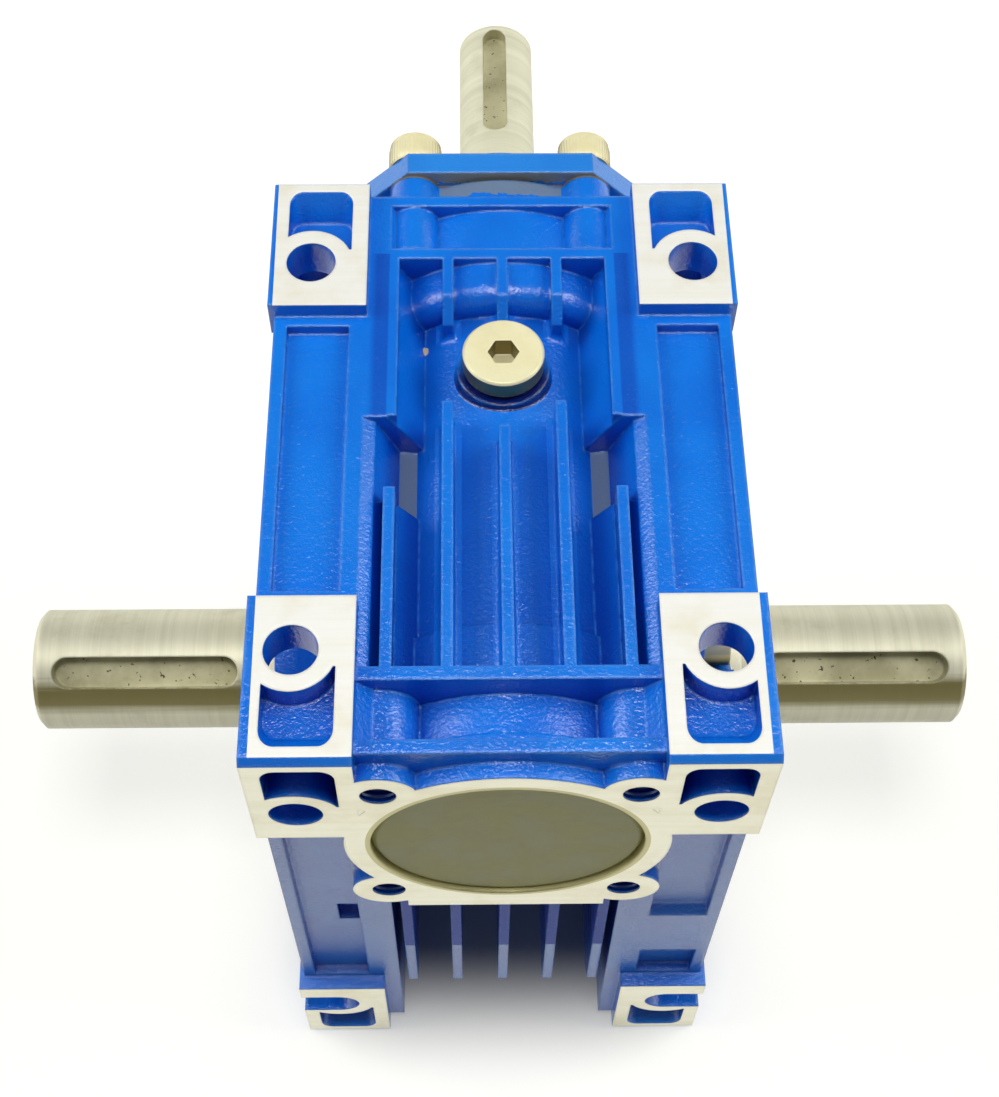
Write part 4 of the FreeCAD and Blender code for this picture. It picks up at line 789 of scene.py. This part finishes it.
def dressAll():
    dress(makePaintedCasting("housingPaint", paintLook, brightFace, **housingMasks), "housing")
    dress(makePaintedCasting("inputCoverPaint", coverPaint, darkFace, bare=bareOnInputCover), "input_cover")
    dress(makePaintedCasting("outputCoverPaint", paintLook, brightFace, bare=bareOnOutputCover),
          "output_cover")
    dress(makeTurnedSteel("outputShaftSteel", outputSteel, slotsOnOutput, reflectionBandOnOutput), "output_shaft")
    dress(makeTurnedSteel("hubSteel", outputSteel), "wheel_hub", "hub_key")
    dress(makeTurnedSteel("inputShaftSteel", inputSteel, slotOnInput), "worm_shaft")
    dress(makeTurnedSteel("springSteel", springSteel), "output_circlips", "worm_circlip")
    dress(makeTurnedSteel("wheelBronze", wheelBronze), "wheel_rim")
    dress(makeTurnedSteel("softAluminium", softAluminium), "plug_washer")
    dress(makeTurnedSteel("bearingSteel", bearingSteel), *[name for name in parts if "bearing" in name])
    dress(makeRubber("sealRubber", sealRubber),
          "input_seal", "output_seal_right", "output_seal_left", "cover_o_ring")
    dress(makeRubber("capRubber", capRubber), "worm_end_cap")
    dress(makeRubber("gasketSheet", gasketSheet), "cover_gasket")
    dress(boltZinc, "cover_bolts", "output_cover_screws", "oil_plug")


# The added pieces wear these three, and the bolts, screws and plug share the first
boltZinc = makeTurnedSteel("zincPlate", zincPlate)
# the fillet paint also carries the painted shadow at the plug's foot
coatedFillet = makePaintedCasting("filletPaint", filletPaint, brightFace, foot=footOnHousing)
bareFilling = makePaintedCasting("bareFilling", filletPaint, brightFace, bare=everywhere)
dressAll()
print("materials assigned")


# Added surfaces, each worked out as whole arrays

shellLook = {"sharpAngle": 40}


def gridFaces(index, ring):
    # index numbers the points row by row: a row closes on itself, rows join into four-sided faces, and a
    # grid that is no ring gets a flat face at either end
    along = np.vstack([index, index[:1]]) if ring else index
    around = np.hstack([along, along[:, :1]])
    cells = np.stack([around[:-1, :-1], around[1:, :-1], around[1:, 1:], around[:-1, 1:]], axis=-1)
    ends = [] if ring else [index[0].tolist(), index[-1].tolist()]
    return cells.reshape(-1, 4).tolist() + ends


def closedShell(name, grids, material):
    # one piece out of several grids, each given as (rows of points, whether the last row joins the first)
    corners = []
    faces = []
    count = 0
    for points, ring in grids:
        rows, columns = points.shape[:2]
        faces += gridFaces(count + np.arange(rows * columns).reshape(rows, columns), ring)
        corners.append(points.reshape(-1, 3))
        count += rows * columns
    mesh = bpy.data.meshes.new(name)
    mesh.from_pydata(np.concatenate(corners).tolist(), [], faces)
    shape = bmesh.new()
    shape.from_mesh(mesh)
    bmesh.ops.recalc_face_normals(shape, faces=shape.faces)
    shape.to_mesh(mesh)
    shape.free()
    mesh.polygons.foreach_set("use_smooth", np.ones(len(mesh.polygons), dtype=bool))
    mesh.set_sharp_from_angle(angle=math.radians(shellLook["sharpAngle"]))
    mesh.materials.append(material)
    piece = bpy.data.objects.new(name, mesh)
    bpy.context.scene.collection.objects.link(piece)
    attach(piece, "housing")


def tunnelTop(x, radius):
    # the upper half of a circle round the worm's axis
    return casting["wormHeight"] + np.sqrt(radius ** 2 - x ** 2)


finFillet = {
    "near": {-0.010: 0.011, 0.0: 0.0057, 0.010: 0.011},    # place across, where the fin ends
    "farStart": 0.0345,
    "farEnd": 0.03075,
    "halfThickness": 0.001,
    "size": 0.0014,
    "sink": 0.0005,
    "stepGap": 0.000001,    # half the length over which a cove steps from one tunnel radius to the other
    "steps": 9,
    "cornerSteps": 7,
}


def finCove(fin, start, end):
    # a U-shaped path round the fin: up one side, round its end and back; from the fin's wall outwards the
    # offset grows as the square of a share and the height above the tunnel falls as the square of its rest
    half = finFillet["halfThickness"]
    ahead = np.sign(end - start)
    quarter = np.linspace(0, np.pi / 2, finFillet["cornerSteps"])
    step = casting["rearSeatEnd"]
    stations = np.array([start, step - finFillet["stepGap"], step + finFillet["stepGap"], end])
    stations = stations[((stations - start) * ahead >= 0) & ((end - stations) * ahead >= 0)]
    straight = np.zeros(len(stations))
    turn = np.concatenate([straight, quarter, np.pi - quarter[::-1], straight + np.pi])
    atY = np.concatenate([stations, np.full(2 * len(quarter), end), stations[::-1]])
    atX = np.where(turn <= np.pi / 2, -half, half)
    atX[len(stations) + len(quarter):] = half
    share = np.linspace(0, 1, finFillet["steps"])[None, :]
    sunk = [[-finFillet["sink"]]]
    offset = np.hstack([finFillet["size"] * share ** 2, sunk])
    height = np.hstack([finFillet["size"] * (1 - share) ** 2, sunk])
    x = fin + atX[:, None] - np.cos(turn)[:, None] * offset
    y = atY[:, None] + ahead * np.sin(turn)[:, None] * offset
    radius = np.where(atY[:, None] < step, casting["rearSeatRadius"], casting["tunnelRadius"])
    return np.stack([x, y, tunnelTop(x, radius) + height], axis=-1), False


def makeFinFillets():
    # one cove along each near fin and one along each short far fin
    coves = []
    for fin, end in finFillet["near"].items():
        coves.append(finCove(fin, casting["nearWall"], end))
        coves.append(finCove(fin, finFillet["farStart"], finFillet["farEnd"]))
    closedShell("finFillets", coves, coatedFillet)


bossFlare = {"spread": 0.0007, "rise": 0.55, "sink": 0.0004, "steps": 9, "turns": 96}


def makeBossFlare():
    # round the plug boss: a quadratic Bezier from the boss's wall to the tunnel, whose height follows the
    # tunnel's curve at each angle, closed by a point sunk in the metal
    angle = np.linspace(0, 2 * np.pi, bossFlare["turns"], endpoint=False)[:, None]
    share = np.linspace(0, 1, bossFlare["steps"])[None, :]
    inner = casting["bossRadius"]
    outer = inner + bossFlare["spread"]
    cornerLevel = tunnelTop(inner * np.cos(angle), casting["tunnelRadius"])
    footLevel = tunnelTop(outer * np.cos(angle), casting["tunnelRadius"])
    wallLevel = cornerLevel + bossFlare["rise"] * (casting["bossTop"] - cornerLevel)
    radius = inner + (outer - inner) * share ** 2 + 0 * angle
    level = (1 - share) ** 2 * wallLevel + 2 * share * (1 - share) * cornerLevel + share ** 2 * footLevel
    radius = np.hstack([radius, inner - bossFlare["sink"] + 0 * angle])
    level = np.hstack([level, cornerLevel - bossFlare["sink"]])
    x = radius * np.cos(angle)
    y = casting["plugPlace"] + radius * np.sin(angle)
    closedShell("bossFlare", [(np.stack([x, y, level], axis=-1), True)], coatedFillet)


knurl = {
    "across": 0.0165,
    "above": 0.026,
    "start": 0.0694,
    "stop": 0.0742,
    "radius": 0.00497,
    "proud": 0.00003,
    "tooth": 0.00017,
    "lean": 0.0002,
    "depth": 0.0003,
    "teeth": 44,
    "pointsPerTooth": 4,
}


def knurledSleeve(x, z):
    # round a bolt head: the outer radius rises and falls as a triangle wave of the angle, and both ends
    # lean in to the head's own wall; of the six points across, the last two are sunk in the head
    count = knurl["pointsPerTooth"] * knurl["teeth"]
    angle = np.linspace(0, 2 * np.pi, count, endpoint=False)[:, None]
    wave = np.abs((angle * knurl["teeth"] / (2 * np.pi)) % 1 - 0.5) * 2
    outside = np.array([0, 1, 1, 0, 0, 0])[None, :]
    inward = np.array([0, 0, 0, 0, 1, 1])[None, :]
    radius = knurl["radius"] + outside * (knurl["proud"] + knurl["tooth"] * wave) - inward * knurl["depth"]
    start, stop, lean = knurl["start"], knurl["stop"], knurl["lean"]
    y = np.array([start, start + lean, stop - lean, stop, stop, start])[None, :] + 0 * angle
    return np.stack([x + radius * np.cos(angle), y, z + radius * np.sin(angle)], axis=-1), True


def makeBoltKnurls():
    # a sleeve on each of the four heads, set out round the worm's axis
    sleeves = []
    for x in (-knurl["across"], knurl["across"]):
        for z in (casting["wormHeight"] - knurl["above"], casting["wormHeight"] + knurl["above"]):
            sleeves.append(knurledSleeve(x, z))
    closedShell("boltKnurls", sleeves, boltZinc)


padFilling = {"x": (0.0229, 0.0266), "y": (-0.0580, -0.05996), "z": (0.1226, 0.1274)}


def fillingBlock(side):
    # a plain block just behind the end face, where ring, lobe and pad leave a small gap: one rectangle in
    # y and z, at either end of its span in x
    x, y, z = (np.array(padFilling[axis]) for axis in "xyz")
    ends = side * x[:, None]
    corners = [ends + np.zeros((1, 4)), y[[0, 1, 1, 0]] + 0 * ends, z[[0, 0, 1, 1]] + 0 * ends]
    return np.stack(corners, axis=-1), False


makeFinFillets()
makeBossFlare()
closedShell("padFilling", [fillingBlock(side) for side in (-1, 1)], bareFilling)
makeBoltKnurls()
print("fillets, flare, filling and knurls added")


# Floor, light and camera

floorLook = {
    "half": 4.0,
    "colour": (0.52, 0.515, 0.48, 1),
    "tintScale": 3.0,
    "tintDepth": 0.985,
    "roughness": 0.9,
    "glow": (1, 1, 0.975, 1),
    "lift": 0.62,
    "liftReach": 0.032,
    "liftInset": 0.020,
    "farLift": 0.45,
    "farReach": (0.3, 1.6),
}
airLook = {
    "colour": (1, 1, 0.985, 1),
    "light": 0.10,
    "roomShade": 0.30,
    "roomRange": (-0.7, 0.1),
    "ceilingShade": 0.07,
    "ceilingRange": (0.12, 0.5),
}
lampLook = {
    "overheadPower": 5.0,
    "overheadSize": 0.35,
    "overheadPlace": (0, -0.08, 1.25),
    "overheadAim": (0, 0, 0.1),
    "sidePower": 6.4,
    "sideSize": 0.70,
    "sidePlace": (0.90, 0.12, 0.85),
    "sideAim": (0, 0, 0.12),
}


def seenDirectly(tree):
    # 1 for rays from the camera, from glossy surfaces and through clear ones
    ray = put(tree, "ShaderNodeLightPath").outputs
    return anyOf(tree, ray["Is Camera Ray"], ray["Is Glossy Ray"], ray["Is Transmission Ray"])


def paintedFloorLight(tree, place):
    # painted light: the paper glows towards white away from the casting and is left as it is beneath it, so
    # it stays darker near and under the casting
    x, y, z = axisSplit(tree, place.outputs["Object"])
    halfX = casting["halfWidth"] - floorLook["liftInset"]
    halfY = casting["halfLength"] - floorLook["liftInset"]
    besideX = calc(tree, "MAXIMUM", fromCentre(tree, unsigned(tree, x), halfX), 0.0)
    besideY = calc(tree, "MAXIMUM", fromCentre(tree, unsigned(tree, y), halfY), 0.0)
    apart = reach(tree, besideX, besideY)
    lift = scaled(tree, smoothStep(tree, apart, 0.0, floorLook["liftReach"]), floorLook["lift"])
    # more painted light far out, where the lamps' light falls off
    far = smoothStep(tree, apart, *floorLook["farReach"])    # the lamps' light falls off out there
    return pushed(tree, far, floorLook["farLift"], lift)


def makeFloor():
    # a square of faintly clouded paper, which glows only where it is seen directly
    half = floorLook["half"]
    mesh = bpy.data.meshes.new("studioFloor")
    corners = [(-half, -half, 0), (half, -half, 0), (half, half, 0), (-half, half, 0)]
    mesh.from_pydata(corners, [], [(0, 1, 2, 3)])
    floor = bpy.data.objects.new("studioFloor", mesh)
    bpy.context.scene.collection.objects.link(floor)
    floor.location.z = cadBox[0][2]
    material, tree, shader, place = startMaterial("paperFloor")
    tint = noise(tree, place.outputs["Object"], floorLook["tintScale"])
    low = tuple(floorLook["tintDepth"] * part for part in floorLook["colour"][:3]) + (1,)
    feed(tree, shader.inputs["Base Color"], blendColour(tree, tint, low, floorLook["colour"]))
    shader.inputs["Roughness"].default_value = floorLook["roughness"]
    shader.inputs["Emission Color"].default_value = floorLook["glow"]
    glow = calc(tree, "MULTIPLY", seenDirectly(tree), paintedFloorLight(tree, place))
    feed(tree, shader.inputs["Emission Strength"], glow)
    mesh.materials.append(material)


def makeAir():
    # the backdrop is white, the ceiling and the room behind the camera are dimmer
    world = bpy.data.worlds.new("studioAir")
    world.use_nodes = True
    bpy.context.scene.world = world
    tree = world.node_tree
    tree.nodes.clear()
    aim = put(tree, "ShaderNodeTexCoord")
    across, ahead, upward = axisSplit(tree, aim.outputs["Generated"])
    backdrop = blendValue(tree, smoothStep(tree, ahead, *airLook["roomRange"]), airLook["roomShade"], 1.0)
    high = smoothStep(tree, upward, *airLook["ceilingRange"])
    backdrop = blendValue(tree, high, backdrop, airLook["ceilingShade"])
    strength = blendValue(tree, seenDirectly(tree), airLook["light"], backdrop)
    air = put(tree, "ShaderNodeBackground", {"Color": airLook["colour"], "Strength": strength})
    output = put(tree, "ShaderNodeOutputWorld")
    tree.links.new(air.outputs["Background"], output.inputs["Surface"])


def softbox(name, place, aim, size, power):
    # a square lamp at a place, turned to face its aim
    lamp = bpy.data.lights.new(name, "AREA")
    lamp.shape = "SQUARE"
    lamp.size = size
    lamp.energy = power
    holder = bpy.data.objects.new(name, lamp)
    bpy.context.scene.collection.objects.link(holder)
    holder.location = place
    holder.rotation_euler = (Vector(aim) - Vector(place)).to_track_quat("-Z", "Y").to_euler()


def makeLamps():
    # one box overhead and a larger one on either side
    softbox("overheadBox", lampLook["overheadPlace"], lampLook["overheadAim"], lampLook["overheadSize"],
            lampLook["overheadPower"])
    across, behind, above = lampLook["sidePlace"]
    for name, side in (("sideBox1", -1), ("sideBox3", 1)):
        softbox(name, (across * side, behind, above), lampLook["sideAim"], lampLook["sideSize"],
                lampLook["sidePower"])


cameraLook = {
    "target": (-0.00068, 0.0, 0.10843),
    "distance": 0.3401,
    "elevation": 59.03,
    "azimuth": -1.62,
    "roll": 1.05,
    "focalPixels": 1801.3,
    "imageHeight": 1097,
    "sensorHeight": 36.0,
    "clipStart": 0.01,
}


def makeCamera():
    # it looks at the target from a distance, an elevation and an azimuth, rolled a little about its view
    tilt = math.radians(cameraLook["elevation"])
    turn = math.radians(cameraLook["azimuth"])
    roll = math.radians(cameraLook["roll"])
    back = Vector((math.sin(turn) * math.cos(tilt), -math.cos(turn) * math.cos(tilt), math.sin(tilt)))
    right = (-back).cross(Vector((0, 0, 1))).normalized()
    up = right.cross(-back)
    across = right * math.cos(roll) + up * math.sin(roll)
    upright = up * math.cos(roll) - right * math.sin(roll)
    lens = bpy.data.cameras.new("photoLens")
    lens.sensor_fit = "VERTICAL"
    lens.sensor_height = cameraLook["sensorHeight"]
    lens.lens = cameraLook["focalPixels"] * cameraLook["sensorHeight"] / cameraLook["imageHeight"]
    lens.clip_start = cameraLook["clipStart"]
    holder = bpy.data.objects.new("photoCamera", lens)
    bpy.context.scene.collection.objects.link(holder)
    pose = Matrix((across, upright, back)).transposed().to_4x4()
    pose.translation = Vector(cameraLook["target"]) + back * cameraLook["distance"]
    holder.matrix_world = pose
    bpy.context.scene.camera = holder


makeFloor()
makeAir()
makeLamps()
makeCamera()
bpy.context.scene.view_settings.view_transform = "Standard"
print("stage, light and camera ready")
